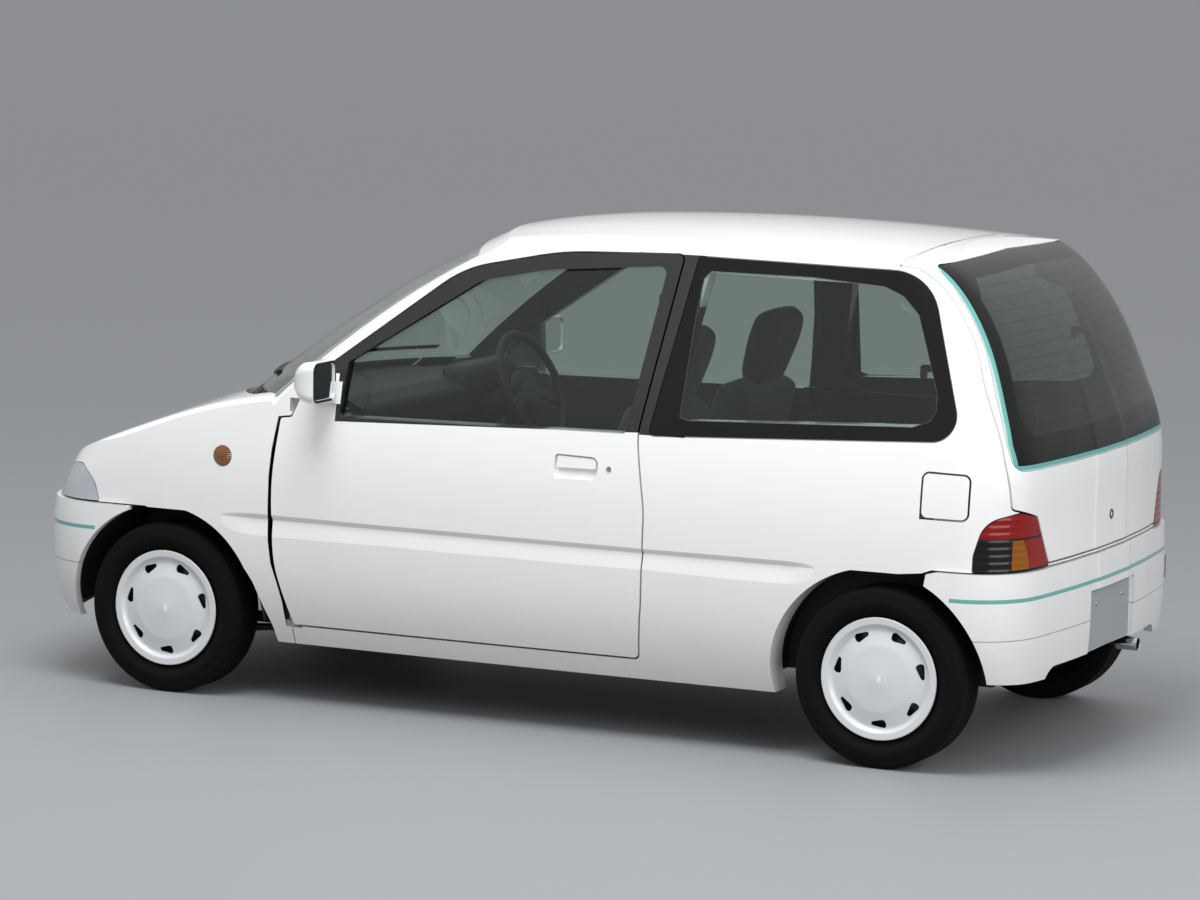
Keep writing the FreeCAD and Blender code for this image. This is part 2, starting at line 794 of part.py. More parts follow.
def side_frame():
    lower = cabin(0, 0, 0).cut(cabin(FRAME_THICK, ROOF_THICK, 0))
    upper = cabin(0, 0, 0).cut(cabin(PILLAR_THICK, ROOF_THICK, 0))
    low_zone = box(XR - 700, 0, 0, XF + 700, 900, BELT_Z)
    high_zone = box(XR - 700, 0, BELT_Z, XF + 700, 900, 1600)
    shell = lower.common(low_zone).fuse(upper.common(high_zone))
    shell = shell.common(side_prism(SIDE_FRAME))
    above_roof = box(XR - 700, -10, 1300, XF + 700, ditch_y(), 1600).cut(cabin(0, ROOF_THICK + PART_GAP, 0))
    shell = shell.cut(above_roof)
    seam = ROOF_SEAM_RADIUS + PART_GAP
    seam_x = ROOF_FRONT_X - ROOF_SEAM_RADIUS + 34
    bed = box(XR - 700, -10, 1250, XF + 700, ditch_y(), 1600)
    bed = bed.common(rod(vec(seam_x, 0, 1200), vec(seam_x, 0, 1600), seam))
    thick = ROOF_THICK + PART_GAP
    shell = shell.cut(bed.cut(cabin(0, thick, thick)))
    outer = hull(-40).cut(hull(DOOR_THICK + 5)).common(low_zone)
    outer_top = hull(-40).cut(hull(DOOR_FRAME_THICK + 5)).common(high_zone)
    opening = side_prism(DOOR, SHUT_GAP)
    stop = side_prism(DOOR, -DOOR_STOP)
    shell = shell.cut(outer.common(opening)).cut(outer_top.common(opening)).cut(stop)
    recess = hull(-40).cut(hull(GLASS + GLASS_SEAT))
    shell = shell.cut(recess.common(side_prism(QUARTER_GLASS, 3.0)))
    shell = shell.cut(side_prism(QUARTER_GLASS, -FRIT))
    glass_bed = box(XR, 0, 700, XF + 300, 900, 1500).cut(screen_half(GLASS + GLASS_SEAT))
    shell = shell.cut(glass_bed.common(hull(SCREEN_EDGE - 3)))
    shell = shell.cut(arch_cutter(REAR_ARCH_X, ARCH_RADIUS, 0, 900))
    shell = shell.cut(rear_prism(TAILGATE, SHUT_GAP, XR - 800, TAILGATE_TOP_X + SHUT_GAP))
    lamp_bed = hull(-40).cut(hull(LAMP_DEPTH + GLASS_SEAT)).common(side_prism(TAIL_LAMP, 3.0))
    shell = shell.cut(lamp_bed.common(box(XR - 700, LAMP_INNER_Y - 3, 0, XR, 900, 900)))
    shell = shell.cut(door_relief()).cut(corner_relief())
    return shell.fuse(front_post()).cut(crease_cutter())


def ditch_y():
    """Where the roof panel's edge meets the side frame."""
    return side_y(0, 1420.0) - 8.0


def front_post():
    """The hidden post that carries the door hinges, with its pins."""
    outer = 562.0
    inner = POST_INNER_Y
    front = DOOR_AXIS_X + 74.0
    rear = POST_REAR_X
    pieces = [box(rear, inner, SILL_BOTTOM + 10, front, outer, BELT_Z - 8)]
    reach = hull(FRAME_THICK - 1).common(box(rear, inner, SILL_BOTTOM + 1, front, 700, SILL_TOP))
    pieces.append(reach.cut(hull(FRAME_THICK + 60)))
    cap = hull(FRAME_THICK - 1).common(box(rear, inner, 843, front, 700, BELT_Z - 8))
    pieces.append(cap)
    for z in HINGE_HEIGHTS:
        arm = HINGE_HALF - 14.0
        pieces.append(box(DOOR_AXIS_X - 11, outer - 5, z - arm, DOOR_AXIS_X + 11, DOOR_AXIS_Y, z + arm))
        pieces.append(rod(vec(DOOR_AXIS_X, DOOR_AXIS_Y, z - arm), vec(DOOR_AXIS_X, DOOR_AXIS_Y, z + arm), 11.0))
        low = z - HINGE_HALF - HINGE_EAR
        high = z + HINGE_HALF + HINGE_EAR
        pieces.append(rod(vec(DOOR_AXIS_X, DOOR_AXIS_Y, low), vec(DOOR_AXIS_X, DOOR_AXIS_Y, high), HINGE_PIN))
    return fused(pieces)


def door():
    outline = side_prism(DOOR)
    inner_outline = side_prism(DOOR, -12.0)
    skin = hull(0).cut(hull(SKIN)).common(outline)
    low = hull(SKIN).cut(hull(DOOR_THICK)).common(inner_outline).common(box(XR, 0, 0, XF, 900, BELT_Z))
    top = hull(SKIN).cut(hull(DOOR_FRAME_THICK)).common(inner_outline).common(box(XR, 0, BELT_Z, XF, 900, 1500))
    leaf = skin.fuse(low).fuse(top)
    leaf = leaf.cut(side_prism(DOOR_WINDOW))
    pane_slot = hull(GLASS_DEPTH - GLASS_SEAT).cut(hull(GLASS_DEPTH + GLASS + GLASS_SEAT))
    leaf = leaf.cut(pane_slot.common(side_prism(DOOR_WINDOW, GLASS_EDGE + GLASS_SEAT)))
    leaf = leaf.cut(crease_cutter())
    for z in HINGE_HEIGHTS:
        pocket = box(DOOR_AXIS_X - 18, 560, z - HINGE_HALF, DOOR_AXIS_X + 120, DOOR_AXIS_Y + 18, z + HINGE_HALF)
        low_z = z - HINGE_HALF - HINGE_EAR
        high_z = z + HINGE_HALF + HINGE_EAR
        bore = rod(
            vec(DOOR_AXIS_X, DOOR_AXIS_Y, low_z - PIN_GAP),
            vec(DOOR_AXIS_X, DOOR_AXIS_Y, high_z + PIN_GAP),
            HINGE_PIN + PIN_GAP,
        )
        leaf = leaf.cut(pocket).cut(bore)
    cup = side_prism(HANDLE_CUP).common(hull(-20)).cut(hull(SKIN - 2))
    paddle = side_prism(HANDLE_PADDLE).common(hull(3)).cut(hull(SKIN - 1))
    lock = rod(vec(LOCK_X, 500, LOCK_Z), vec(LOCK_X, 800, LOCK_Z), LOCK_RADIUS).common(hull(-1.5)).cut(hull(4))
    leaf = leaf.cut(cup).fuse(paddle).fuse(lock)
    return leaf


def door_glass():
    return hull(GLASS_DEPTH).cut(hull(GLASS_DEPTH + GLASS)).common(side_prism(DOOR_WINDOW, GLASS_EDGE))


def door_mirror():
    sections = []
    for x, y0, y1, z0, z1, r in MIRROR_SECTIONS:
        points = ((y0, z0, r), (y1, z0, r), (y1, z1, r), (y0, z1, r))
        sections.append(rounded_wire(points, lambda u, v, x=x: vec(x, u, v)))
    shell = Part.makeLoft(sections, True, False)
    x, y0, y1, z0, z1, r = MIRROR_SECTIONS[0]
    face = ((y0 + 7, z0 + 7, r - 7), (y1 - 7, z0 + 7, r - 7), (y1 - 7, z1 - 7, r - 7), (y0 + 7, z1 - 7, r - 7))
    well = Part.Face(rounded_wire(face, lambda u, v: vec(x - 1, u, v))).extrude(vec(9, 0, 0))
    glass = Part.Face(rounded_wire(face, lambda u, v: vec(x + 5, u, v))).extrude(vec(5, 0, 0))
    arm_z = z0 + 10
    foot_y = side_y(x + 30, arm_z) + 0.3
    arm = box(x + 12, foot_y, arm_z - 8, x + 52, y0 + 30, arm_z + 22)
    base = hull(-12).cut(hull(-0.3)).common(box(x - 14, 500, arm_z - 22, x + 74, 900, arm_z + 40))
    return shell.cut(well).fuse(glass).fuse(arm.cut(hull(-0.3))).fuse(base)


def quarter_glass():
    return hull(0).cut(hull(GLASS)).common(side_prism(QUARTER_GLASS))


def fuel_flap():
    leaf = hull(0).cut(hull(FLAP_THICK)).common(side_prism(FUEL_FLAP, -SHUT_GAP))
    y = side_y(FLAP_AXIS_X, FLAP_Z, FLAP_AXIS_IN)
    lug = box(FLAP_AXIS_X - 8, y - 5, FLAP_Z - 12, FLAP_AXIS_X + 4, y + 9, FLAP_Z + 12).common(hull(1))
    knuckle = rod(vec(FLAP_AXIS_X, y, FLAP_Z - 12), vec(FLAP_AXIS_X, y, FLAP_Z + 12), 5.0)
    bore = rod(vec(FLAP_AXIS_X, y, FLAP_Z - 20), vec(FLAP_AXIS_X, y, FLAP_Z + 20), FLAP_PIN + PIN_GAP)
    return leaf.fuse(lug).fuse(knuckle).cut(bore)


def flap_pocket():
    mouth = hull(-30).cut(hull(FLAP_THICK + 4)).common(side_prism(FUEL_FLAP))
    well = hull(-30).cut(hull(FLAP_DEPTH)).common(side_prism(FUEL_FLAP, -3.0))
    y = side_y(FLAP_AXIS_X, FLAP_Z, FLAP_AXIS_IN)
    sweep = rod(vec(FLAP_AXIS_X, y, FLAP_SWEEP_LOW), vec(FLAP_AXIS_X, y, FLAP_SWEEP_HIGH), FLAP_SWEEP)
    corner = box(FLAP_AXIS_X - 6, y - 5, FLAP_SWEEP_LOW, FLAP_MOUTH_X, y + 60, FLAP_SWEEP_LOW + FLAP_SQUARE)
    return mouth.fuse(well).fuse(sweep.common(hull(FLAP_LIP))).fuse(corner)


def flap_hinge():
    y = side_y(FLAP_AXIS_X, FLAP_Z, FLAP_AXIS_IN)
    pin = rod(vec(FLAP_AXIS_X, y, FLAP_Z - 26), vec(FLAP_AXIS_X, y, FLAP_Z + 26), FLAP_PIN)
    pieces = [pin]
    for side in (-1, 1):
        z = FLAP_Z + side * 20
        x1 = FLAP_AXIS_X + FLAP_EAR_FRONT
        pieces.append(box(FLAP_AXIS_X - 4, y - FLAP_DEPTH, z - 5, x1, y + FLAP_EAR_OUT, z + 5))
    neck = rod(vec(XR - 185, y - 45, FLAP_Z + 5), vec(XR - 185, y - 14, FLAP_Z + 5), 27.0)
    return fused(pieces + [neck])


def roof_panel():
    seam = ROOF_SEAM_RADIUS
    front = rod(vec(ROOF_FRONT_X - seam, 0, 1200), vec(ROOF_FRONT_X - seam, 0, 1600), seam)
    band = rod(vec(ROOF_FRONT_X - seam + 34, 0, 1200), vec(ROOF_FRONT_X - seam + 34, 0, 1600), seam)
    zone = box(TAILGATE_TOP_X + SHUT_GAP, 0, 1200, XF, ditch_y() - DITCH, 1600)
    core = cabin(0, ROOF_THICK, ROOF_THICK)
    skin = cabin(0, 0, 0).cut(core).common(front)
    bed = cabin(0, GLASS + GLASS_SEAT, GLASS + GLASS_SEAT).cut(core).common(band)
    z = tailgate_axis_z()
    rise = TAILGATE_AXIS_DROP + TAILGATE_LUG_Y ** 2 / (2 * ROOF_RADIUS)
    swing = math.hypot(TAILGATE_TOP_X - TAILGATE_AXIS_X, rise) + SWING_GAP
    sweep = rod(vec(TAILGATE_AXIS_X, -1, z), vec(TAILGATE_AXIS_X, 700, z), swing)
    return both(skin.fuse(bed).common(zone).cut(sweep).fuse(tailgate_bracket()))


def windscreen():
    seam = ROOF_SEAM_RADIUS
    front = rod(vec(ROOF_FRONT_X - seam, 0, 800), vec(ROOF_FRONT_X - seam, 0, 1600), seam + PANE_GAP)
    pane = cabin(SCREEN_EDGE, 0, 0).cut(screen_half(GLASS))
    pane = pane.common(box(XR, 0, SCREEN_FOOT_Z, XF + 100, 900, 1500)).cut(front)
    return both(pane)


def wing():
    shell = nose(0).cut(nose(WING_THICK)).common(side_prism(WING)).cut(repeater_disc(0.0))
    shell = shell.cut(bonnet_plan(SHUT_GAP))
    shell = shell.cut(box(XF - 480, 0, BONNET_LIP, BONNET_CORNER_X + 20, BONNET_EDGE_Y + SHUT_GAP, 1200))
    shell = shell.cut(box(XF - 480, 0, BONNET_LIP, BONNET_REAR_X + 10, BONNET_EDGE_Y - 10, 1200))
    shell = shell.cut(side_prism(DOOR, SHUT_GAP)).cut(door_relief())
    shell = shell.cut(arch_cutter(XF, ARCH_RADIUS, 0, 900)).cut(side_prism(FRONT_ARCH_TAIL))
    shell = shell.cut(side_prism(HEADLAMP, 3.0, HEADLAMP_INNER_Y - 60))
    shell = shell.cut(crease_cutter())
    above_foot = box(XF - 480, 0, SCREEN_FOOT_Z - PART_GAP, XF, 900, 1100)
    pane_space = screen_half(-PART_GAP).common(above_foot).common(hull(SCREEN_EDGE - PART_GAP))
    shell = shell.cut(pane_space)
    return shell.cut(box(XF + 200, 0, 0, XF + 700, HEADLAMP_INNER_Y + 60, 1000))


def repeater_disc(inset):
    radius = REPEATER_RADIUS - inset
    return rod(vec(REPEATER_X, 640, REPEATER_Z), vec(REPEATER_X, 720, REPEATER_Z), radius)


def repeater():
    """The domed side lamp in the wing."""
    y = side_y(REPEATER_X, REPEATER_Z) - REPEATER_DOME + REPEATER_PROUD
    dome = Part.makeSphere(REPEATER_DOME, vec(REPEATER_X, y, REPEATER_Z))
    return dome.common(repeater_disc(GLASS_SEAT)).cut(hull(WING_THICK))


def bonnet_plan(grow):
    """The bonnet's outline from above, carried up through the nose."""
    rear = BONNET_REAR_X + grow
    edge = BONNET_EDGE_Y + grow
    back = BONNET_CORNER_X + grow
    wire = Part.Wire([
        arc(vec(back, -edge, BONNET_LIP), vec(rear - 2 * grow, 0, BONNET_LIP), vec(back, edge, BONNET_LIP)),
        line(vec(back, edge, BONNET_LIP), vec(XF + 700, edge - 14, BONNET_LIP)),
        line(vec(XF + 700, edge - 14, BONNET_LIP), vec(XF + 700, 14 - edge, BONNET_LIP)),
        line(vec(XF + 700, 14 - edge, BONNET_LIP), vec(back, -edge, BONNET_LIP)),
    ])
    return Part.Face(wire).extrude(vec(0, 0, 700))


def bonnet_lug():
    """The arm from under the bonnet back to its hinge pin, and the pin's bore."""
    x = BONNET_AXIS_X
    z = BONNET_AXIS_Z
    y0 = BONNET_LUG_Y - LUG_HALF
    y1 = BONNET_LUG_Y + LUG_HALF
    boss = rod(vec(x, y0, z), vec(x, y1, z), LUG_RADIUS)
    arm = box(x, y0, z - LUG_RADIUS, x + 120, y1, z + LUG_RADIUS / 2)
    riser = box(x + 85, y0, z - LUG_RADIUS, x + 120, y1, z + 90).common(nose(BONNET_THICK - 1))
    bore = rod(vec(x, y0 - 1, z), vec(x, y1 + 1, z), BONNET_PIN + PIN_GAP)
    return fused([boss, arm, riser]).cut(bore)


def bonnet():
    shell = nose(0).cut(hull(BONNET_THICK).common(bonnet_crown(BONNET_THICK))).common(bonnet_plan(0.0))
    shell = shell.cut(side_prism(HEADLAMP, 6.0, HEADLAMP_INNER_Y - 6))
    return both(shell.fuse(bonnet_lug()))


def nose_panel():
    band = box(XF + 300, 0, FRONT_BUMPER_TOP + 4, XF + 700, HEADLAMP_INNER_Y - 4, BONNET_LIP - SHUT_GAP)
    panel = nose(0).cut(nose(SHEET)).common(band)
    slot = box(XF + 300, -5, NOSE_SLOT_LOW, XF + 700, 236, NOSE_SLOT_HIGH)
    bars = fused([box(XF + 300, 0, z, XF + 700, 238, z + 5) for z in NOSE_BARS])
    louvres = bars.common(hull(4)).cut(hull(SHEET))
    return both(panel.cut(slot).fuse(louvres))


def headlamp():
    lamp = nose(0).cut(hull(HEADLAMP_DEPTH)).common(side_prism(HEADLAMP, 0.0, HEADLAMP_INNER_Y))
    return lamp


def front_bumper():
    shell = hull(-BUMPER_PROUD).cut(hull(BUMPER_THICK - BUMPER_PROUD)).common(side_prism(FRONT_BUMPER, 0, -5))
    shell = shell.cut(arch_cutter(XF, ARCH_RADIUS, 0, 900, 700.0))
    intake = side_prism(((XF + 300, 250.0, 0.0), (XF + 700, 250.0, 0.0), (XF + 700, 330.0, 0.0), (XF + 300, 330.0, 0.0)), 0, -5, 330)
    bars = fused([box(XF + 300, 0, z, XF + 700, 335, z + 8) for z in (272.0, 300.0)])
    bars = bars.common(hull(2)).cut(hull(BUMPER_THICK - BUMPER_PROUD))
    return both(shell.cut(intake).fuse(bars).common(box(XF - 100, 0, 0, XF + 700, 900, 900)))


def rear_bumper():
    shell = hull(-BUMPER_PROUD).cut(hull(BUMPER_THICK - BUMPER_PROUD)).common(side_prism(REAR_BUMPER, 0, -5))
    shell = shell.cut(arch_cutter(REAR_ARCH_X, ARCH_RADIUS, 0, 900, 700.0))
    notch = rear_prism(((-50.0, 100.0, 0.0), (470.0, 100.0, 0.0), (440.0, 282.0, 60.0), (-50.0, 286.0, 0.0)))
    shell = shell.cut(notch)
    seat = box(XR - 600, 0, PLATE_Z0 - 8, PLATE_X, PLATE_WIDTH / 2 + 14, PLATE_Z1 + 8)
    return both(shell.cut(seat).common(box(XR - 700, 0, 0, XR - 50, 900, 900)))


def tail_lamp():
    lamp = hull(0).cut(hull(LAMP_DEPTH)).common(side_prism(TAIL_LAMP))
    return lamp.cut(rear_prism(TAILGATE, SHUT_GAP)).common(box(XR - 700, LAMP_INNER_Y, 0, XR, 900, 900))


def tailgate():
    skin = cabin(0, 0, 0).cut(cabin(SKIN, SKIN, 0)).common(rear_prism(TAILGATE, 0.0, XR - 800, TAILGATE_TOP_X))
    inner = cabin(SKIN, SKIN, 0).cut(cabin(TAILGATE_THICK, ROOF_THICK, 0))
    inner = inner.common(rear_prism(TAILGATE, -TAILGATE_INNER, XR - 800, TAILGATE_TOP_X))
    shell = skin.fuse(inner).common(box(XR - 800, 0, 570, XR + 100, 900, 1500))
    bed = box(XR - 800, 0, 500, XR + 50, 900, 1500).cut(hull(GLASS + GLASS_SEAT).common(roof_crown(GLASS + GLASS_SEAT)))
    shell = shell.cut(bed.common(rear_prism(TAILGATE_GLASS, 2.0)))
    shell = shell.cut(rear_prism(TAILGATE_GLASS, -FRIT))
    z = tailgate_axis_z()
    y0 = TAILGATE_LUG_Y - LUG_HALF - LUG_SIDE_GAP
    y1 = TAILGATE_LUG_Y + LUG_HALF + LUG_SIDE_GAP
    slot = box(TAILGATE_AXIS_X - 16, y0, z - 60, XR + 100, y1, z + TAILGATE_BOSS + 1.5)
    notch = box(TAILGATE_AXIS_X - 3, y0, z - 60, XR + 100, y1, z + 60)
    slot = slot.fuse(notch)
    bore = rod(vec(TAILGATE_AXIS_X, y0 - 16, z), vec(TAILGATE_AXIS_X, y1 + 16, z), TAILGATE_PIN + PIN_GAP)
    ears = box(TAILGATE_AXIS_X - 20, y0 - 14, z - 20, TAILGATE_TOP_X, y1 + 14, z + 5)
    return both(shell.fuse(ears).cut(slot).cut(bore))


def tailgate_bracket():
    """The roof's arm that carries the tailgate's hinge pin."""
    x = TAILGATE_AXIS_X
    z = tailgate_axis_z()
    y0 = TAILGATE_LUG_Y - LUG_HALF
    y1 = TAILGATE_LUG_Y + LUG_HALF
    boss = rod(vec(x, y0, z), vec(x, y1, z), TAILGATE_BOSS)
    points = ((x - 2, z - 6, 0.0), (x + 40, z - 34, 0.0), (x + 70, z - 34, 0.0), (x + 70, z, 0.0),
              (x + 48, z, 0.0), (x + 34, z - 18, 0.0), (x + 4, z + 2, 0.0))
    wire = rounded_wire(points, lambda u, v: vec(u, y0, v))
    arm = Part.Face(wire).extrude(vec(0, y1 - y0, 0))
    pin = rod(vec(x, y0 - 14, z), vec(x, y1 + 14, z), TAILGATE_PIN)
    return fused([boss, arm, pin])


def tailgate_axis_z():
    """The hinge line lies a little under the roof skin at the seam."""
    x = TAILGATE_AXIS_X
    rows = ROOF_SECTIONS
    drop = rows[-2][1]
    for front, back in zip(rows, rows[1:]):
        if back[0] <= x <= front[0]:
            share = (x - back[0]) / (front[0] - back[0])
            drop = back[1] + share * (front[1] - back[1])
    crown_drop = TAILGATE_LUG_Y ** 2 / (2 * ROOF_RADIUS)
    return ROOF_HEIGHT - drop - crown_drop - TAILGATE_AXIS_DROP


def tailgate_glass():
    pane = cabin(0, 0, 0).cut(hull(GLASS).common(roof_crown(GLASS)))
    pane = pane.common(rear_prism(TAILGATE_GLASS, 0.0, XR - 800, XR + 10))
    return both(pane)


def cowl():
    """The black tray between the bonnet and the windscreen, with its riser."""
    half = BONNET_EDGE_Y + SHUT_GAP - PART_GAP
    zone = box(XF - 400, 0, 700, XF + 60, half, SCREEN_FOOT_Z - PART_GAP)
    lid = nose(COWL_IN).cut(nose(COWL_IN + SHEET)).common(zone).cut(bonnet_plan(SHUT_GAP))
    lid = lid.cut(screen_half(GLASS))
    riser = screen_half(GLASS_SEAT).cut(screen_half(SHEET)).common(hull(SCREEN_EDGE)).common(zone)
    riser = riser.common(box(XF - 400, 0, BULKHEAD_TOP + PART_GAP, XF + 60, half, 1000))
    under_bonnet = bonnet_plan(SHUT_GAP)
    riser = riser.cut(under_bonnet.common(box(XF - 400, -1, 700, XF + 100, RISER_FROM_Y, 1000)))
    riser = riser.cut(under_bonnet.cut(bonnet_crown(BONNET_THICK + RISER_CLEAR)))
    y0 = BONNET_LUG_Y - LUG_HALF - HINGE_CLEAR
    y1 = BONNET_LUG_Y + LUG_HALF + HINGE_CLEAR
    slot = box(BONNET_AXIS_X - 16, y0, 800, XF, y1, 1000)
    corner = box(BONNET_CORNER_X + SHUT_GAP, BONNET_EDGE_Y - 8, 700, XF + 100, 700, 1000)
    return both(lid.fuse(riser).cut(slot).cut(corner))


def bulkhead():
    """The wall behind the engine, with its cowl box and the bonnet's hinge pins."""
    x = BULKHEAD_X
    wall = box(x, 0, FLOOR_Z, x + SHEET, BULKHEAD_HALF, BULKHEAD_TOP)
    shelf = box(x, 0, BULKHEAD_TOP - SHEET, XF - 120, BULKHEAD_HALF, BULKHEAD_TOP)
    front = box(XF - 120 - SHEET, 0, BULKHEAD_TOP - 90, XF - 120, BULKHEAD_HALF, BULKHEAD_TOP)
    pieces = [wall, shelf, front]
    post_x = BONNET_AXIS_X
    for side in (-1, 1):
        near = BONNET_LUG_Y + side * (LUG_HALF + LUG_SIDE_GAP)
        far = near + side * BRACKET_WALL
        y0 = min(near, far)
        y1 = max(near, far)
        pieces.append(box(post_x - 9, y0, BULKHEAD_TOP - 4, post_x + 9, y1, BONNET_AXIS_Z))
        pieces.append(rod(vec(post_x, y0, BONNET_AXIS_Z), vec(post_x, y1, BONNET_AXIS_Z), 9.0))
    reach = LUG_HALF + LUG_SIDE_GAP + 1
    pin_start = vec(post_x, BONNET_LUG_Y - reach, BONNET_AXIS_Z)
    pieces.append(rod(pin_start, vec(post_x, BONNET_LUG_Y + reach, BONNET_AXIS_Z), BONNET_PIN))
    tunnel_mouth = box(x - 1, 0, FLOOR_Z - 1, x + SHEET + 1, TUNNEL_HALF - SHEET, TUNNEL_TOP - SHEET)
    return both(fused(pieces).cut(tunnel_mouth))


def bracket(block, inner_face):
    """A block that reaches from the radiator panel to a shell's inner face."""
    reach = block.common(inner_face)
    reach.translate(vec(-PART_GAP, 0, 0))
    return reach


def arch_liner(axle_x, y0, inset):
    outer = arch_cutter(axle_x, ARCH_RADIUS + 14, y0, 700, 1000.0)
    inner = arch_cutter(axle_x, ARCH_RADIUS + 6, y0 - 1, 701, 1000.0)
    top = box(axle_x - 400, y0, ARCH_Z, axle_x + 400, 700, 700)
    return outer.cut(inner).common(top).common(hull(inset))


def front_structure():
    """Radiator panel, aprons, strut towers, wheel arch liners and lamp and bumper brackets."""
    start = BULKHEAD_X + SHEET + PART_GAP
    apron = box(start, FRONT_WELL_Y - SHEET, RAIL_Z, RAD_X, FRONT_WELL_Y, 700)
    apron = apron.common(bonnet_crown(BONNET_THICK + 8))
    rail = box(start, FRONT_WELL_Y - 60, RAIL_Z, RAD_X, FRONT_WELL_Y, 330)
    panel = box(RAD_X, 0, RAIL_Z, RAD_X + SHEET, 560, RAD_TOP)
    panel = panel.cut(box(RAD_X - 1, 0, 330, RAD_X + SHEET + 1, 290, 580)).common(hull(40))
    panel = panel.cut(box(RAD_X - 1, FRONT_WELL_Y - 24, FRONT_BUMPER_TOP + 2, RAD_X + SHEET + 1, 700, 700))
    liner = arch_liner(XF, FRONT_WELL_Y - 2, WING_THICK + PART_GAP)
    ahead = box(XF + 60, 0, 0, XF + 700, 900, FRONT_BUMPER_TOP + 1)
    liner = liner.cut(ahead.cut(hull(BUMPER_THICK - BUMPER_PROUD + PART_GAP)))
    liner = liner.cut(side_prism(DOOR, SHUT_GAP)).cut(box(XF - 400, 0, 0, BULKHEAD_X + SHEET + 1, 700, 700))
    tower = rod(vec(XF, STRUT_Y, 540), vec(XF, STRUT_Y, TOWER_TOP), 62.0)
    hollow = rod(vec(XF, STRUT_Y, 500), vec(XF, STRUT_Y, TOWER_TOP - SHEET), 52.0)
    web = box(XF - 62, FRONT_WELL_Y - SHEET, 600, XF + 62, STRUT_Y, 700)
    front = RAD_X + 2
    bumper_arm = bracket(box(front, 250, 380, NOSE_X, 320, 430), hull(BUMPER_THICK - BUMPER_PROUD))
    lamp_arm = bracket(box(RAD_X - 20, FRONT_WELL_Y - 24, 575, NOSE_X, FRONT_WELL_Y, 605), hull(HEADLAMP_DEPTH))
    shelf = bracket(box(front, 0, RAD_TOP - 18, NOSE_X, 250, RAD_TOP), nose(SHEET))
    half = fused([apron, rail, panel, liner, tower, web, bumper_arm, lamp_arm, shelf]).cut(hollow)
    half = half.cut(arch_cutter(XF, ARCH_RADIUS + 6, FRONT_WELL_Y + 0.5, 700, 1000.0))
    mount = box(XF - 20, ENGINE_HALF + PART_GAP, 300, XF + 40, FRONT_WELL_Y - 59, 330)
    return both(half.fuse(mount))


def floor_pan():
    """Floor, tunnel, load floor, rear wheel houses and rear panel."""
    inner = hull(FRAME_THICK + PART_GAP)
    front_x = BULKHEAD_X - PART_GAP
    top = FLOOR_Z + FLOOR_THICK
    low = box(KICK_X - 20, 0, FLOOR_Z, front_x, 700, top).common(inner)
    kick = box(KICK_X - 20, 0, FLOOR_Z, KICK_X, 700, LOAD_FLOOR_Z).common(inner)
    load = box(REAR_PANEL_X, 0, LOAD_FLOOR_Z - FLOOR_THICK, KICK_X, 700, LOAD_FLOOR_Z).common(inner)
    tail_strip = box(REAR_PANEL_X - 1, 0, LOAD_FLOOR_Z - FLOOR_THICK, XR - 335, 560, LOAD_FLOOR_Z)
    tail_strip = tail_strip.common(hull(LAMP_DEPTH + 4.0))
    drum = rod(vec(REAR_ARCH_X, REAR_WELL_Y, ARCH_Z), vec(REAR_ARCH_X, 700, ARCH_Z), ARCH_RADIUS + 18)
    start = vec(REAR_ARCH_X, REAR_WELL_Y + SHEET, ARCH_Z)
    bore = rod(start, vec(REAR_ARCH_X, 701, ARCH_Z), ARCH_RADIUS + 6)
    well = drum.cut(bore).common(box(XR - 400, 0, 230, XR + 400, 700, 700)).common(inner)
    panel = box(REAR_PANEL_X - SHEET, 0, 300, REAR_PANEL_X, 590, BUMPER_TOP + 4 - PART_GAP)
    panel = panel.common(hull(LAMP_DEPTH + 4.0))
    arm = box(XR - 440, 250, 380, REAR_PANEL_X, 320, 430).common(hull(BUMPER_THICK - BUMPER_PROUD + PART_GAP))
    tunnel = box(KICK_X - 20, 0, FLOOR_Z, front_x, TUNNEL_HALF, TUNNEL_TOP)
    hollow = box(KICK_X - 40, -1, FLOOR_Z - 1, front_x + 1, TUNNEL_HALF - SHEET, TUNNEL_TOP - SHEET)
    half = fused([low, kick, load, tail_strip]).cut(bore).fuse(well).fuse(tunnel).cut(hollow)
    half = half.fuse(panel).fuse(arm)
    slot = BEAM_RADIUS + BEAM_GAP
    beam_slot = box(XR - slot, REAR_WELL_Y - 20, FLOOR_Z, XR + slot, REAR_WELL_Y + 30, TYRE_RADIUS + slot)
    post_space = box(POST_REAR_X - PART_GAP, POST_INNER_Y - PART_GAP, 0, front_x + 1, 900, 300)
    half = half.cut(beam_slot).cut(post_space)
    return half.fuse(mirrored(half))


def tyre_profile():
    half = TYRE_WIDTH / 2
    bead = RIM_HALF_WIDTH - RIM_FLANGE - 1
    inner = RIM_RADIUS + TYRE_SEAT
    side = RIM_RADIUS + 45.0
    return (
        (-bead, inner, 0.0), (bead, inner, 0.0), (bead + 2, RIM_RADIUS + 14, 6.0),
        (half, side, 26.0), (half - 7, TYRE_RADIUS - 10, 14.0), (half - 20, TYRE_RADIUS, 8.0),
        (20 - half, TYRE_RADIUS, 8.0), (7 - half, TYRE_RADIUS - 10, 14.0), (-half, side, 26.0),
        (-bead - 2, RIM_RADIUS + 14, 6.0),
    )


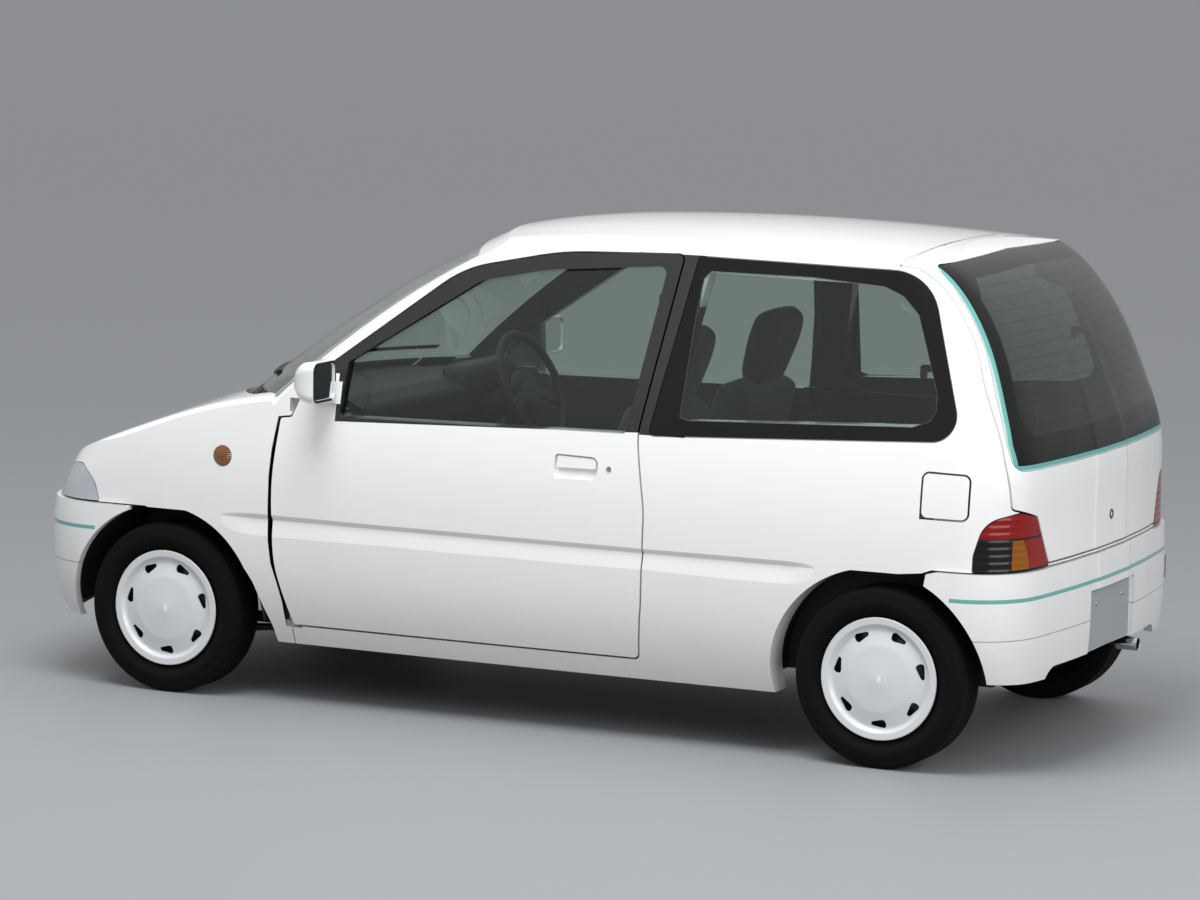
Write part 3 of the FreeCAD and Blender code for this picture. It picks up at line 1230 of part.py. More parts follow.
def tyre(x, side):
    wire = rounded_wire(tyre_profile(), lambda u, v: vec(0, u, v))
    solid = Part.Face(wire).revolve(vec(0, 0, 0), vec(0, 1, 0), 360)
    for y in (-24.0, 0.0, 24.0):
        ring = rod(vec(0, y - 2.5, 0), vec(0, y + 2.5, 0), TYRE_RADIUS + 1)
        ring = ring.cut(rod(vec(0, y - 3, 0), vec(0, y + 3, 0), TYRE_RADIUS - TREAD_GROOVE))
        solid = solid.cut(ring)
    solid.translate(vec(x, side * WHEEL_Y, TYRE_RADIUS))
    return solid


def cover_window():
    """One teardrop opening in a wheel cover, at the bottom of the cover."""
    points = (
        (-26.0, -WINDOW_AT - 12.0, 11.0), (-20.0, -WINDOW_AT + 17.0, 10.0),
        (22.0, -WINDOW_AT + 6.0, 5.0), (21.0, -WINDOW_AT - 4.0, 5.0),
    )
    wire = rounded_wire(points, lambda u, v: vec(u, 30, v))
    return Part.Face(wire).extrude(vec(0, 60, 0))


def ring_solid(points):
    """A section of (width, radius) points turned about the wheel's axis."""
    corners = [vec(0, u, v) for u, v in points]
    return Part.Face(Part.makePolygon(corners + [corners[0]])).revolve(vec(0, 0, 0), vec(0, 1, 0), 360)


def wheel(x, side):
    """Pressed rim, hub and round plastic cover of a left wheel, or its mirror."""
    w = RIM_HALF_WIDTH
    r = RIM_RADIUS
    inner = r - RIM_WALL
    rim = ring_solid((
        (-w, r + RIM_FLANGE), (3 - w, r + RIM_FLANGE), (4 - w, r), (w - 4, r),
        (w - 3, r + RIM_FLANGE), (w, r + RIM_FLANGE), (w, inner), (-w, inner),
    ))
    disc = ring_solid((
        (6.0, HUB_RADIUS - 2), (26.0, 84.0), (14.0, 112.0), (12.0, inner + 1),
        (20.0, inner + 1), (22.0, 116.0), (34.0, 84.0), (14.0, HUB_RADIUS - 2),
    ))
    bore = SPINDLE_RADIUS + RUNNING_GAP
    hub = ring_solid(((HUB_IN, bore), (HUB_IN, HUB_RADIUS), (HUB_OUT, HUB_RADIUS), (HUB_OUT, bore)))
    out = COVER_OUT
    face = (
        (0.0, out + COVER_DOME, 0.0), (0.0, out + COVER_DOME - 4, 0.0), (90.0, out - 1.0, 60.0),
        (148.0, out - 14.0, 20.0), (158.0, out - 3.0, 4.0), (r - 4, out - 4.0, 2.0), (r - 4, w - 6, 0.0),
        (r, w - 6, 0.0), (r, out - 2, 2.0), (COVER_RADIUS, out - 1.0, 2.0), (COVER_RADIUS, out + 5.0, 4.0),
        (150.0, out + 4.0, 6.0), (142.0, out - 8.0, 12.0), (92.0, out + 4.0, 60.0),
    )
    wire = rounded_wire(face, lambda u, v: vec(0, v, u))
    cover = Part.Face(wire).revolve(vec(0, 0, 0), vec(0, 1, 0), 360)
    for i in range(COVER_WINDOWS):
        cutter = cover_window()
        cutter.rotate(vec(0, 0, 0), vec(0, 1, 0), 360.0 * i / COVER_WINDOWS)
        cover = cover.cut(cutter)
    solid = fused([rim, disc, hub, cover])
    if side < 0:
        solid = mirrored(solid)
    solid.translate(vec(x, side * WHEEL_Y, TYRE_RADIUS))
    return solid


def knuckle():
    """Upright with its spindle; it turns on two pins in the arms' eyes."""
    y = KINGPIN_Y
    z = TYRE_RADIUS
    low = z - KNUCKLE_HALF
    high = z + KNUCKLE_HALF
    post = rod(vec(XF, y, low), vec(XF, y, high), 17.0)
    pin = rod(vec(XF, y, low - EYE_HEIGHT), vec(XF, y, high + EYE_HEIGHT), KINGPIN_RADIUS)
    spindle = rod(vec(XF, y - 4, z), vec(XF, WHEEL_Y + HUB_OUT + 4, z), SPINDLE_RADIUS)
    arm = box(XF - 110, y - 44, z - 60, XF - 8, y - 26, z - 40)
    boss = box(XF - 22, y - 44, z - 62, XF + 10, y, z - 38)
    return fused([post, pin, spindle, arm, boss])


def front_suspension():
    """Cross-member, lower arms and struts with their eyes for the knuckles."""
    y = KINGPIN_Y
    z0 = TYRE_RADIUS - KNUCKLE_HALF - PART_GAP
    z1 = TYRE_RADIUS + KNUCKLE_HALF + PART_GAP
    arm_z = z0 - EYE_HEIGHT + 3
    eye_low = rod(vec(XF, y, arm_z), vec(XF, y, z0), EYE_RADIUS)
    eye_high = rod(vec(XF, y, z1), vec(XF, y, z1 + EYE_HEIGHT - 3), EYE_RADIUS)
    bore_low = rod(vec(XF, y, z0 - 40), vec(XF, y, z0 + 1), KINGPIN_RADIUS + PIN_GAP)
    bore_high = rod(vec(XF, y, z1 - 1), vec(XF, y, z1 + 40), KINGPIN_RADIUS + PIN_GAP)
    root = FRONT_WELL_Y - 56
    arm_points = (
        (XF - 16.0, y, 0.0), (XF + 16.0, y, 0.0), (XF + 26.0, root, 40.0), (XF - 8.0, root, 10.0),
        (XF - 20.0, root + 90, 30.0), (XF - 190.0, root, 10.0), (XF - 230.0, root, 10.0),
        (XF - 60.0, root + 140, 60.0),
    )
    wire = rounded_wire(arm_points, lambda u, v: vec(u, v, arm_z))
    arm = Part.Face(wire).extrude(vec(0, 0, 16))
    side = root + 22
    beam = box(XF - 240, 0, arm_z - 6, XF - 180, side, arm_z + 44)
    beam_front = box(XF - 20, root - 30, arm_z - 6, XF + 40, side, arm_z + 70)
    side_rail = box(XF - 240, root - 30, arm_z + 20, XF + 40, side, arm_z + 44)
    mount = box(XF - 230, root - 4, arm_z + 40, XF - 190, side - 2, RAIL_Z - PART_GAP)
    mount_front = box(XF - 10, root - 4, arm_z + 40, XF + 30, side - 2, RAIL_Z - PART_GAP)
    top = box(XF - 16, STRUT_Y - 10, z1, XF + 16, y, z1 + EYE_HEIGHT - 3)
    strut = rod(vec(XF, STRUT_Y, z1 - 40), vec(XF, STRUT_Y, 560), 24.0)
    piston = rod(vec(XF, STRUT_Y, 550), vec(XF, STRUT_Y, TOWER_TOP - SHEET - PART_GAP), 11.0)
    seat = rod(vec(XF, STRUT_Y, 514), vec(XF, STRUT_Y, 522), 46.0)
    spring = rod(vec(XF, STRUT_Y, 520), vec(XF, STRUT_Y, 690), 40.0)
    pieces = [eye_low, eye_high, arm, beam, beam_front, side_rail, mount, mount_front, top]
    half = fused(pieces + [strut, piston, seat, spring])
    return both(half.cut(bore_low).cut(bore_high))


def rear_axle():
    """Axle beam, spindles, trailing arms, springs and their seats."""
    z = TYRE_RADIUS
    under = LOAD_FLOOR_Z - FLOOR_THICK - PART_GAP
    beam = rod(vec(XR, 0, z), vec(XR, WHEEL_Y + HUB_IN - 30, z), BEAM_RADIUS)
    spindle = rod(vec(XR, WHEEL_Y - 60, z), vec(XR, WHEEL_Y + HUB_OUT + 4, z), SPINDLE_RADIUS)
    link = box(XR, LINK_Y - 14, z - 22, XR + 372, LINK_Y + 14, z + 6)
    eye = rod(vec(XR + 372, LINK_Y - 18, z - 8), vec(XR + 372, LINK_Y + 18, z - 8), 24.0)
    bracket = box(XR + 352, LINK_Y - 24, z - 30, XR + 392, LINK_Y + 24, under)
    cup = rod(vec(XR + 60, LINK_Y, z - 10), vec(XR + 60, LINK_Y, z + 8), 52.0)
    spring = rod(vec(XR + 60, LINK_Y, z + 4), vec(XR + 60, LINK_Y, under), 42.0)
    damper = rod(vec(XR - 44, LINK_Y, z), vec(XR - 44, LINK_Y, under), 18.0)
    foot = box(XR - 62, LINK_Y - 14, z - 20, XR, LINK_Y + 14, z + 6)
    return both(fused([beam, spindle, link, eye, bracket, cup, spring, damper, foot]))


def pipe_run(points, radius):
    pieces = []
    for a, b in zip(points, points[1:]):
        pieces.append(rod(a, b, radius))
        pieces.append(Part.makeSphere(radius, b))
    return pieces


def exhaust():
    """Pipe, silencer and tail pipe, hung under the floor."""
    z = PIPE_Z
    run = (
        vec(XF - 100, 60, ENGINE_Z0 - PART_GAP), vec(XF - 100, 60, z), vec(XF - 300, 40, z),
        vec(XF - 460, 0, z), vec(XR + 580, 0, z), vec(XR + 470, -100, z + 14),
        vec(XR + 90, -140, z + 98), vec(XR - 90, -190, z + 80),
    )
    can = rod(vec(XR - 330, -190, z + 84), vec(XR - 76, -190, z + 84), CAN_RADIUS)
    tail = rod(vec(XR - 300, -221, z + 46), vec(TAIL_X - 7.5, -221, z + 30), PIPE_RADIUS - 2)
    bore = rod(vec(TAIL_X + 60, -221, z + 32.6), vec(TAIL_X - 10, -221, z + 29.6), PIPE_RADIUS - 4)
    hanger = box(XR - 210, -196, z + 84, XR - 190, -184, LOAD_FLOOR_Z - FLOOR_THICK - PART_GAP)
    front_hanger = box(-8, -5, z, 8, 5, TUNNEL_TOP - SHEET - PART_GAP)
    return fused(pipe_run(run, PIPE_RADIUS) + [can, tail, hanger, front_hanger]).cut(bore)


def fuel_tank():
    top = LOAD_FLOOR_Z - FLOOR_THICK - PART_GAP
    tank = box(XR + 110, 10, 232, XR + 470, 408, top)
    return tank.makeFillet(22.0, tank.Edges)


def engine_block():
    block = box(XF - 150, -ENGINE_HALF, ENGINE_Z0, XF + 250, ENGINE_HALF, ENGINE_TOP)
    return block.makeFillet(24.0, block.Edges)


def dashboard():
    """Instrument panel, its top run up to the windscreen, and the column's cowl."""
    front = BULKHEAD_X - PART_GAP
    rear = DASH_REAR_X
    outline = (
        (front, DASH_FOOT, 0.0), (front, DASH_TOP - 14, 0.0), (rear + 60, DASH_TOP, 30.0),
        (rear, DASH_TOP - 30, 24.0), (rear + 8, DASH_TOP - 110, 20.0), (rear + 70, DASH_FOOT, 30.0),
    )
    wire = rounded_wire(outline, lambda u, v: vec(u, -DASH_HALF, v))
    body = Part.Face(wire).extrude(vec(0, 2 * DASH_HALF, 0))
    top_z = DASH_TOP - 14
    shelf = box(front - 1, 0, BULKHEAD_TOP + PART_GAP, XF, DASH_HALF, top_z).common(screen_half(SHEET + PART_GAP))
    under = box(front, 0, 700, XF, DASH_HALF, BULKHEAD_TOP + 14)
    shelf = shelf.cut(under).cut(nose_keepout())
    hood = box(rear - 12, DRIVER_Y - 170, DASH_TOP - 60, rear + 90, DRIVER_Y + 170, DASH_TOP + 34)
    hood = hood.makeFillet(26.0, hood.Edges)
    bore = rod(column_point(0.0), column_point(COLUMN_REACH + 2), COLUMN_RADIUS + PIN_GAP)
    mouth = rod(column_point(0.0), column_point(SHROUD_REACH + 2), SHROUD_RADIUS + HINGE_CLEAR)
    return fused([body, both(shelf), hood]).cut(bore).cut(mouth)


def nose_keepout():
    """Room for the cowl tray and the bonnet's hinges above the bulkhead's shelf."""
    return box(BONNET_AXIS_X - 26, BONNET_LUG_Y - 30, 700, XF, 700, 1000)


def column_point(along, up=0.0):
    """A point along the steering column from the wheel's centre, forward and down."""
    rake = math.radians(COLUMN_RAKE)
    x = COLUMN_X + along * math.cos(rake) + up * math.sin(rake)
    z = COLUMN_Z - along * math.sin(rake) + up * math.cos(rake)
    return vec(x, DRIVER_Y, z)


def steering_column():
    shaft = rod(column_point(COLUMN_GAP), column_point(COLUMN_REACH), COLUMN_RADIUS)
    shroud = rod(column_point(COLUMN_GAP + 26), column_point(SHROUD_REACH), SHROUD_RADIUS)
    return shaft.fuse(shroud)


def steering_wheel():
    """Rim, two spokes and boss, drawn flat and then raked."""
    rim = Part.makeTorus(WHEEL_RIM_RADIUS - WHEEL_RIM_THICK, WHEEL_RIM_THICK)
    boss = Part.makeCylinder(62.0, 30.0, vec(0, 0, -34.0))
    boss = boss.makeFillet(10.0, [boss.Edges[0]])
    pieces = [rim, boss]
    reach = WHEEL_RIM_RADIUS - WHEEL_RIM_THICK
    for angle in (200.0, 340.0):
        spoke = Part.makeBox(reach, 34.0, 10.0, vec(0, -17, -14))
        spoke.rotate(vec(0, 0, 0), vec(0, 0, 1), angle)
        pieces.append(spoke)
    socket = Part.makeCylinder(COLUMN_RADIUS + 9, 22.0, vec(0, 0, -56.0))
    bore = Part.makeCylinder(COLUMN_RADIUS + PIN_GAP, 24.0, vec(0, 0, -57.0))
    solid = fused(pieces + [socket]).cut(bore)
    solid.rotate(vec(0, 0, 0), vec(0, 0, 1), -90)
    solid.rotate(vec(0, 0, 0), vec(0, 1, 0), COLUMN_RAKE - 90)
    solid.translate(vec(COLUMN_X, DRIVER_Y, COLUMN_Z))
    return solid


def pad(x0, y0, z0, x1, y1, z1, radius, lean=0.0):
    """A soft block with rounded edges, leaned back about its lower front edge."""
    block = box(x0, y0, z0, x1, y1, z1)
    block = block.makeFillet(radius, block.Edges)
    block.rotate(vec(x1, 0, z0), vec(0, 1, 0), -lean)
    return block


def front_seat(y):
    half = SEAT_WIDTH / 2
    base = FLOOR_Z + FLOOR_THICK + PART_GAP
    cushion = pad(SEAT_X, y - half, SEAT_Z, SEAT_X + 470, y + half, SEAT_Z + 130, 38.0)
    back = pad(SEAT_X - 90, y - half + 10, SEAT_Z + 60, SEAT_X + 30, y + half - 10, SEAT_TOP, 40.0, SEAT_LEAN)
    low = SEAT_TOP + HEAD_REST_LOW
    head = pad(SEAT_X - 70, y - HEAD_REST_HALF, low, SEAT_X + 10, y + HEAD_REST_HALF, SEAT_TOP + HEAD_REST_HIGH, 38.0)
    post_x = SEAT_X - 34
    posts = [rod(vec(post_x, y + v, SEAT_TOP - 60), vec(post_x, y + v, SEAT_TOP + 60), 6.0) for v in (-55, 55)]
    for piece in [head] + posts:
        piece.rotate(vec(SEAT_X + 30, 0, SEAT_Z + 60), vec(0, 1, 0), -SEAT_LEAN)
    rails = [box(SEAT_X + 30, y + v - 14, base, SEAT_X + 430, y + v + 14, SEAT_Z + 40) for v in (-150, 150)]
    return fused([cushion, back, head] + posts + rails)


def front_seats():
    return Part.makeCompound([front_seat(DRIVER_Y), front_seat(-DRIVER_Y)])


def rear_seat():
    base = LOAD_FLOOR_Z + PART_GAP
    cushion = pad(XR + 220, -REAR_SEAT_HALF, base, KICK_X + 20, REAR_SEAT_HALF, base + 120, 36.0)
    back = pad(XR + 150, -REAR_SEAT_HALF, base + 40, XR + 260, REAR_SEAT_HALF, REAR_SEAT_TOP, 36.0, 14.0)
    return cushion.fuse(back)


def cabin_mirror():
    """Mirror and its stalk under the front of the roof."""
    head = pad(MIRROR_X, -MIRROR_HALF, MIRROR_Z, MIRROR_X + 26, MIRROR_HALF, MIRROR_Z + 62, 11.0)
    stalk = rod(vec(MIRROR_X + 14, 0, MIRROR_Z + 30), vec(MIRROR_X - 20, 0, 1450), 7.0)
    foot = rod(vec(MIRROR_X - 10, 0, MIRROR_Z + 70), vec(MIRROR_X - 10, 0, 1450), 22.0)
    foot = foot.cut(rod(vec(MIRROR_X - 10, 0, 0), vec(MIRROR_X - 10, 0, MIRROR_Z + 84), 23.0))
    whole = fused([head, stalk, foot])
    keep = both(cabin(0, ROOF_THICK + PART_GAP, ROOF_THICK + PART_GAP))
    return whole.common(keep)


def wipers():
    """Two blades lying on the windscreen, each with its arm and pivot."""
    pieces = []
    for y0, y1 in WIPER_SPANS:
        band = Part.makePolygon([
            vec(XF - 900, y0, WIPER_LOW), vec(XF - 900, y1, WIPER_HIGH), vec(XF - 900, y1, WIPER_HIGH + 12),
            vec(XF - 900, y0, WIPER_LOW + 12), vec(XF - 900, y0, WIPER_LOW),
        ])
        prism = Part.Face(band).extrude(vec(1100, 0, 0))
        shell = screen_half(-9.0).cut(screen_half(-GLASS_SEAT))
        whole = shell.fuse(mirrored(shell))
        pieces.append(whole.common(prism))
    return Part.makeCompound(pieces)


def number_plate():
    """The blank rear plate in the bumper's recess."""
    half = PLATE_WIDTH / 2
    x1 = PLATE_X - PART_GAP
    return box(x1 - PLATE_THICK, -half, PLATE_Z0, x1, half, PLATE_Z1)


def pair(left):
    """A left piece and its mirror image in one node."""
    return Part.makeCompound([left, mirrored(left)])


def main():
    """Every node's name and shape, written to its own file."""
    os.makedirs("parts", exist_ok=True)
    frame = side_frame()
    nodes = {
        "side_frame_left": frame.cut(flap_pocket()).fuse(flap_hinge()),
        "side_frame_right": mirrored(frame),
        "floor_pan": floor_pan(),
        "roof_panel": roof_panel(),
        "bulkhead": bulkhead(),
        "cowl": cowl(),
        "front_structure": front_structure(),
        "nose_panel": nose_panel(),
        "bumper_front": front_bumper(),
        "bumper_rear": rear_bumper(),
        "headlamps": pair(headlamp()),
        "tail_lamps": pair(tail_lamp()),
        "repeaters": pair(repeater()),
        "windscreen": windscreen(),
        "quarter_glasses": pair(quarter_glass()),
        "dashboard": dashboard(),
        "steering_column": steering_column(),
        "steering_wheel": steering_wheel(),
        "front_seats": front_seats(),
        "rear_seat": rear_seat(),
        "cabin_mirror": cabin_mirror(),
        "engine_block": engine_block(),
        "fuel_tank": fuel_tank(),
        "exhaust": exhaust(),
        "front_suspension": front_suspension(),
        "rear_axle": rear_axle(),
        "wipers": wipers(),
        "number_plate": number_plate(),
        "bonnet": bonnet(),
        "tailgate": tailgate(),
        "tailgate_glass": tailgate_glass(),
        "fuel_flap": fuel_flap(),
    }
    for name, piece in (
        ("wing", wing()), ("door", door()), ("door_glass", door_glass()),
        ("door_mirror", door_mirror()), ("knuckle", knuckle()),
    ):
        nodes[name + "_left"] = piece
        nodes[name + "_right"] = mirrored(piece)
    for place, x in (("front", XF), ("rear", XR)):
        for hand, side in (("left", 1), ("right", -1)):
            nodes["tyre_%s_%s" % (place, hand)] = tyre(x, side)
            nodes["wheel_%s_%s" % (place, hand)] = wheel(x, side)
    for name, shape in nodes.items():
        shape.exportStep("parts/%s.step" % name)


if __name__ == "__main__":
    main()
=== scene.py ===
# %% [markdown]
# A small white three-door hatchback is dressed here around its solid model.
# Every solid already has its true size and place, so this lesson only gives
# surfaces their finish and adds the pieces that are too fine or too soft for
# the solid model: seats, window borders, seals, tread, lamps and trim.

# %% Load the car
import json
import math

import bmesh
import bpy
from mathutils import Matrix, Vector
from mathutils.bvhtree import BVHTree

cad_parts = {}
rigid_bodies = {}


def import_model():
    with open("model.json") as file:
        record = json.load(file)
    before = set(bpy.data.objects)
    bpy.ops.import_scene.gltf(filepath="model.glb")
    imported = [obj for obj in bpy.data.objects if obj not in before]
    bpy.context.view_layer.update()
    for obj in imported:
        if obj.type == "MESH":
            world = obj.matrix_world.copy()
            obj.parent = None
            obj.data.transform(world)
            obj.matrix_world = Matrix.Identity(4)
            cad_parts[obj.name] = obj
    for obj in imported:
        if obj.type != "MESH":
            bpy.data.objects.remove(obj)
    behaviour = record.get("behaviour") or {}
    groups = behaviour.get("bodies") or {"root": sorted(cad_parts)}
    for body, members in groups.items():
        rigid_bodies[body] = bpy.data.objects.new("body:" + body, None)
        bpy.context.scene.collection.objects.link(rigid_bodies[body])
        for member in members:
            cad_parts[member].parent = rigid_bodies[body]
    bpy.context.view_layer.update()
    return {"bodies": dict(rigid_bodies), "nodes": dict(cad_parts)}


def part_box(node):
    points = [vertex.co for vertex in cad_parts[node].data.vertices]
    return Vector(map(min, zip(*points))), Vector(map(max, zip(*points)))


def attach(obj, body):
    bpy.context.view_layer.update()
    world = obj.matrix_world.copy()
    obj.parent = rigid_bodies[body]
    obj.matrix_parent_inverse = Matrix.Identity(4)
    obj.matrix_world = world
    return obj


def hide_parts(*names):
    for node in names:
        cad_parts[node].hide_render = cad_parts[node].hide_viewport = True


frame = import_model()
nodes = frame["nodes"]
MM = 0.001

# %% [markdown]
# Lengths below are in metres. The two axles give every other place along the
# car, so they are read from the front and rear tyres, whose boxes are exact.

# %% Measure the wheels
tyre_low, tyre_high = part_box("tyre_front_left")
rear_low, rear_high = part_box("tyre_rear_left")
FRONT_AXLE = (tyre_low.x + tyre_high.x) / 2
REAR_AXLE = (rear_low.x + rear_high.x) / 2
AXLE_HEIGHT = (tyre_low.z + tyre_high.z) / 2
WHEEL_Y = (tyre_low.y + tyre_high.y) / 2
print("axles at", FRONT_AXLE, REAR_AXLE, "height", AXLE_HEIGHT)

# %% [markdown]
# Colours are written as the sRGB hex values that a paint chart gives. Blender
# mixes light in linear values, so one function does the conversion. Another
# adds a shader node with its settings and links, which keeps each finish short.

# %% Helpers for finishes
def colour(hex_value):
    """An sRGB hex colour as linear red, green, blue and alpha."""
    channels = []
    for i in (0, 2, 4):
        part = int(hex_value[i:i + 2], 16) / 255
        channels.append(part / 12.92 if part <= 0.04045 else ((part + 0.055) / 1.055) ** 2.4)
    return (*channels, 1.0)


def add_node(tree, kind, inputs=None, **settings):
    """A shader node; inputs may be values or other nodes' sockets."""
    node = tree.nodes.new("ShaderNode" + kind)
    for key, value in settings.items():
        setattr(node, key, value)
    for key, value in (inputs or {}).items():
        if isinstance(value, bpy.types.NodeSocket):
            tree.links.new(value, node.inputs[key])
        else:
            node.inputs[key].default_value = value
    return node


def new_finish(name, base, roughness, grain=0.0, relief=0.0, pattern="TexNoise", **sockets):
    """A material with one shader and a fine relief; returns it with its tree and shader."""
    material = bpy.data.materials.new(name)
    material.use_nodes = True
    tree = material.node_tree
    shader = tree.nodes["Principled BSDF"]
    shader.inputs["Base Color"].default_value = colour(base)
    shader.inputs["Roughness"].default_value = roughness
    for key, value in sockets.items():
        shader.inputs[key.replace("_", " ")].default_value = value
    if grain:
        spot = add_node(tree, "TexCoord").outputs["Object"]
        cells = add_node(tree, pattern, {"Vector": spot, "Scale": 1 / grain})
        bump = add_node(tree, "Bump", {"Height": cells.outputs[0], "Distance": relief, "Strength": 0.5})
        tree.links.new(bump.outputs[0], shader.inputs["Normal"])
    return material, tree, shader


def spot_of(tree):
    """The x, y, z and distance from the middle plane of a point on the piece, in metres."""
    axes = add_node(tree, "SeparateXYZ", {0: add_node(tree, "TexCoord").outputs["Object"]})
    away = add_node(tree, "Math", {0: axes.outputs["Y"]}, operation="ABSOLUTE")
    return axes.outputs["X"], axes.outputs["Y"], axes.outputs["Z"], away.outputs[0]


def within(tree, *ranges, soft=0.4 * MM):
    """1 where each value is between its low and high limits; None leaves a side open."""
    result = 1.0
    for value, low, high in ranges:
        for edge, sign in ((low, 1), (high, -1)):
            if edge is not None:
                ramp = {"Value": value, "From Min": edge - sign * soft, "From Max": edge + sign * soft}
                step = add_node(tree, "MapRange", ramp).outputs[0]
                result = add_node(tree, "Math", {0: result, 1: step}, operation="MULTIPLY").outputs[0]
    return result


def weighed(tree, first, factor, second):
    """first times factor, plus second."""
    return add_node(tree, "Math", {0: first, 1: factor, 2: second}, operation="MULTIPLY_ADD").outputs[0]


def paint_over(tree, shader, mask, hex_value, roughness, metallic=None):
    """Lays another colour and roughness over what the shader has, where the mask is 1."""
    layers = [("Base Color", colour(hex_value), "RGBA", 6, 2), ("Roughness", roughness, "FLOAT", 2, 0)]
    if metallic is not None:
        layers.append(("Metallic", metallic, "FLOAT", 2, 0))
    for key, value, kind, slot, out in layers:
        socket = shader.inputs[key]
        old = socket.links[0].from_socket if socket.is_linked else socket.default_value
        if kind == "RGBA" and not socket.is_linked:
            old = tuple(old)
        mixed = add_node(tree, "Mix", data_type=kind)
        tree.links.new(mask, mixed.inputs[0])
        for place, part in ((slot, old), (slot + 1, value)):
            if isinstance(part, bpy.types.NodeSocket):
                tree.links.new(part, mixed.inputs[place])
            else:
                mixed.inputs[place].default_value = part
        tree.links.new(mixed.outputs[out], socket)


# %% [markdown]
# The body is sprayed steel: a neutral white solid colour under clear lacquer. The
# lacquer gives sharp reflections over a slightly softer base, and a faint
# ripple a few millimetres wide, which paint makers call orange peel. Low down,
# the sills and bumpers are a little greyer, in patches: this is painted shade.

# %% Body paint
PAINT_WHITE = "F1F1F1"
LOW_SHADE_WHITE = "DBDBDB"
TRIM_BLACK = "0B0B0C"
TRIM_GREY = "4A4C4E"
LINING_GREY = "A9ABAC"
TEAL = "62A8A3"
BELT = 0.869
RIPPLE = 6 * MM
LOW_SHADE_TOP = 0.60
LOW_SHADE_PATCH = 0.09


def lacquer(name):
    """White paint under clear lacquer, with orange peel and painted shade that greys it low down."""
    material, tree, shader = new_finish(
        name, PAINT_WHITE, 0.30, RIPPLE, 0.02 * MM, Coat_Weight=1.0, Coat_Roughness=0.03
    )
    x, y, z, away = spot_of(tree)
    # Painted shade: below about 0.6 m the white turns greyer towards the bottom, in noisy patches.
    patches = add_node(tree, "TexNoise", {"Scale": 1 / LOW_SHADE_PATCH, "Detail": 3.0})
    level = weighed(tree, patches.outputs[0], -LOW_SHADE_PATCH, z)
    low_shade = add_node(tree, "MapRange", {"Value": level, "From Min": LOW_SHADE_TOP, "From Max": 0.20})
    paint_over(tree, shader, low_shade.outputs[0], LOW_SHADE_WHITE, 0.42)
    return material, tree, shader


def cabin_side(tree):
    """1 where a side panel's surface looks in towards the cabin."""
    x, y, z, away = spot_of(tree)
    normal = add_node(tree, "NewGeometry").outputs["Normal"]
    facing = add_node(tree, "SeparateXYZ", {0: normal}).outputs["Y"]
    side = add_node(tree, "Math", {0: y}, operation="SIGN").outputs[0]
    outward = add_node(tree, "Math", {0: facing, 1: side}, operation="MULTIPLY").outputs[0]
    return within(tree, (outward, None, -0.25), soft=0.05)


paint, tree, shader = lacquer("white_lacquer")

# %% [markdown]
# The door is painted white below the waist. Its frame round the window is
# black, and the line between them falls gently towards the front. The triangle
# that carries the mirror stays white. The small lock barrel is bare metal.

# %% Door paint
WAIST_FALL = 0.0358
WAIST_FRONT = 0.841
DOOR_CORNER = FRONT_AXLE - 0.592
SAIL_REAR = FRONT_AXLE - 0.560
SAIL_TOP = 0.975
LOCK_RADIUS = 8 * MM
LOCK_AT = (REAR_AXLE + 0.820, 0.768)
door_paint, tree, shader = lacquer("door_lacquer_and_black_frame")
x, y, z, away = spot_of(tree)
waist = weighed(tree, x, WAIST_FALL, z)
waist_line = WAIST_FRONT + WAIST_FALL * DOOR_CORNER
over_waist = within(tree, (waist, waist_line, None))
sail = within(tree, (x, SAIL_REAR, None), (z, None, SAIL_TOP))
not_sail = add_node(tree, "Math", {0: 1.0, 1: sail}, operation="SUBTRACT").outputs[0]
frame_mask = add_node(tree, "Math", {0: over_waist, 1: not_sail}, operation="MULTIPLY").outputs[0]
paint_over(tree, shader, frame_mask, TRIM_BLACK, 0.40)
from_lock = add_node(tree, "CombineXYZ", {0: x, 1: z})
lock_reach = add_node(
    tree, "VectorMath", {0: from_lock.outputs[0], 1: (*LOCK_AT, 0.0)}, operation="DISTANCE"
)
paint_over(tree, shader, within(tree, (lock_reach.outputs["Value"], None, LOCK_RADIUS)), "B9BCBE", 0.3, 1.0)
paint_over(tree, shader, cabin_side(tree), TRIM_GREY, 0.75)
print("the door turns black above", round(waist_line, 3))

# %% [markdown]
# Behind the door the pillar is black too, so that the two side windows read as
# one dark band. The walls of the fuel flap's shut gap, on the flap and round its
# mouth, are painted black as painted shade.
# The roof has a grey cloth lining on its under side.

# %% Side and roof paint
PILLAR = (REAR_AXLE + 0.60, REAR_AXLE + 0.80)
PILLAR_TOP = 1.366
FLAP_PLACE = (REAR_AXLE - 0.252, REAR_AXLE - 0.106)
FLAP_HEIGHT = (0.698, 0.832)
side_paint, tree, shader = lacquer("side_lacquer_and_black_pillar")
x, y, z, away = spot_of(tree)
paint_over(tree, shader, within(tree, (z, BELT, PILLAR_TOP), (x, *PILLAR)), TRIM_BLACK, 0.45)
paint_over(tree, shader, cabin_side(tree), "2A2B2D", 0.8)

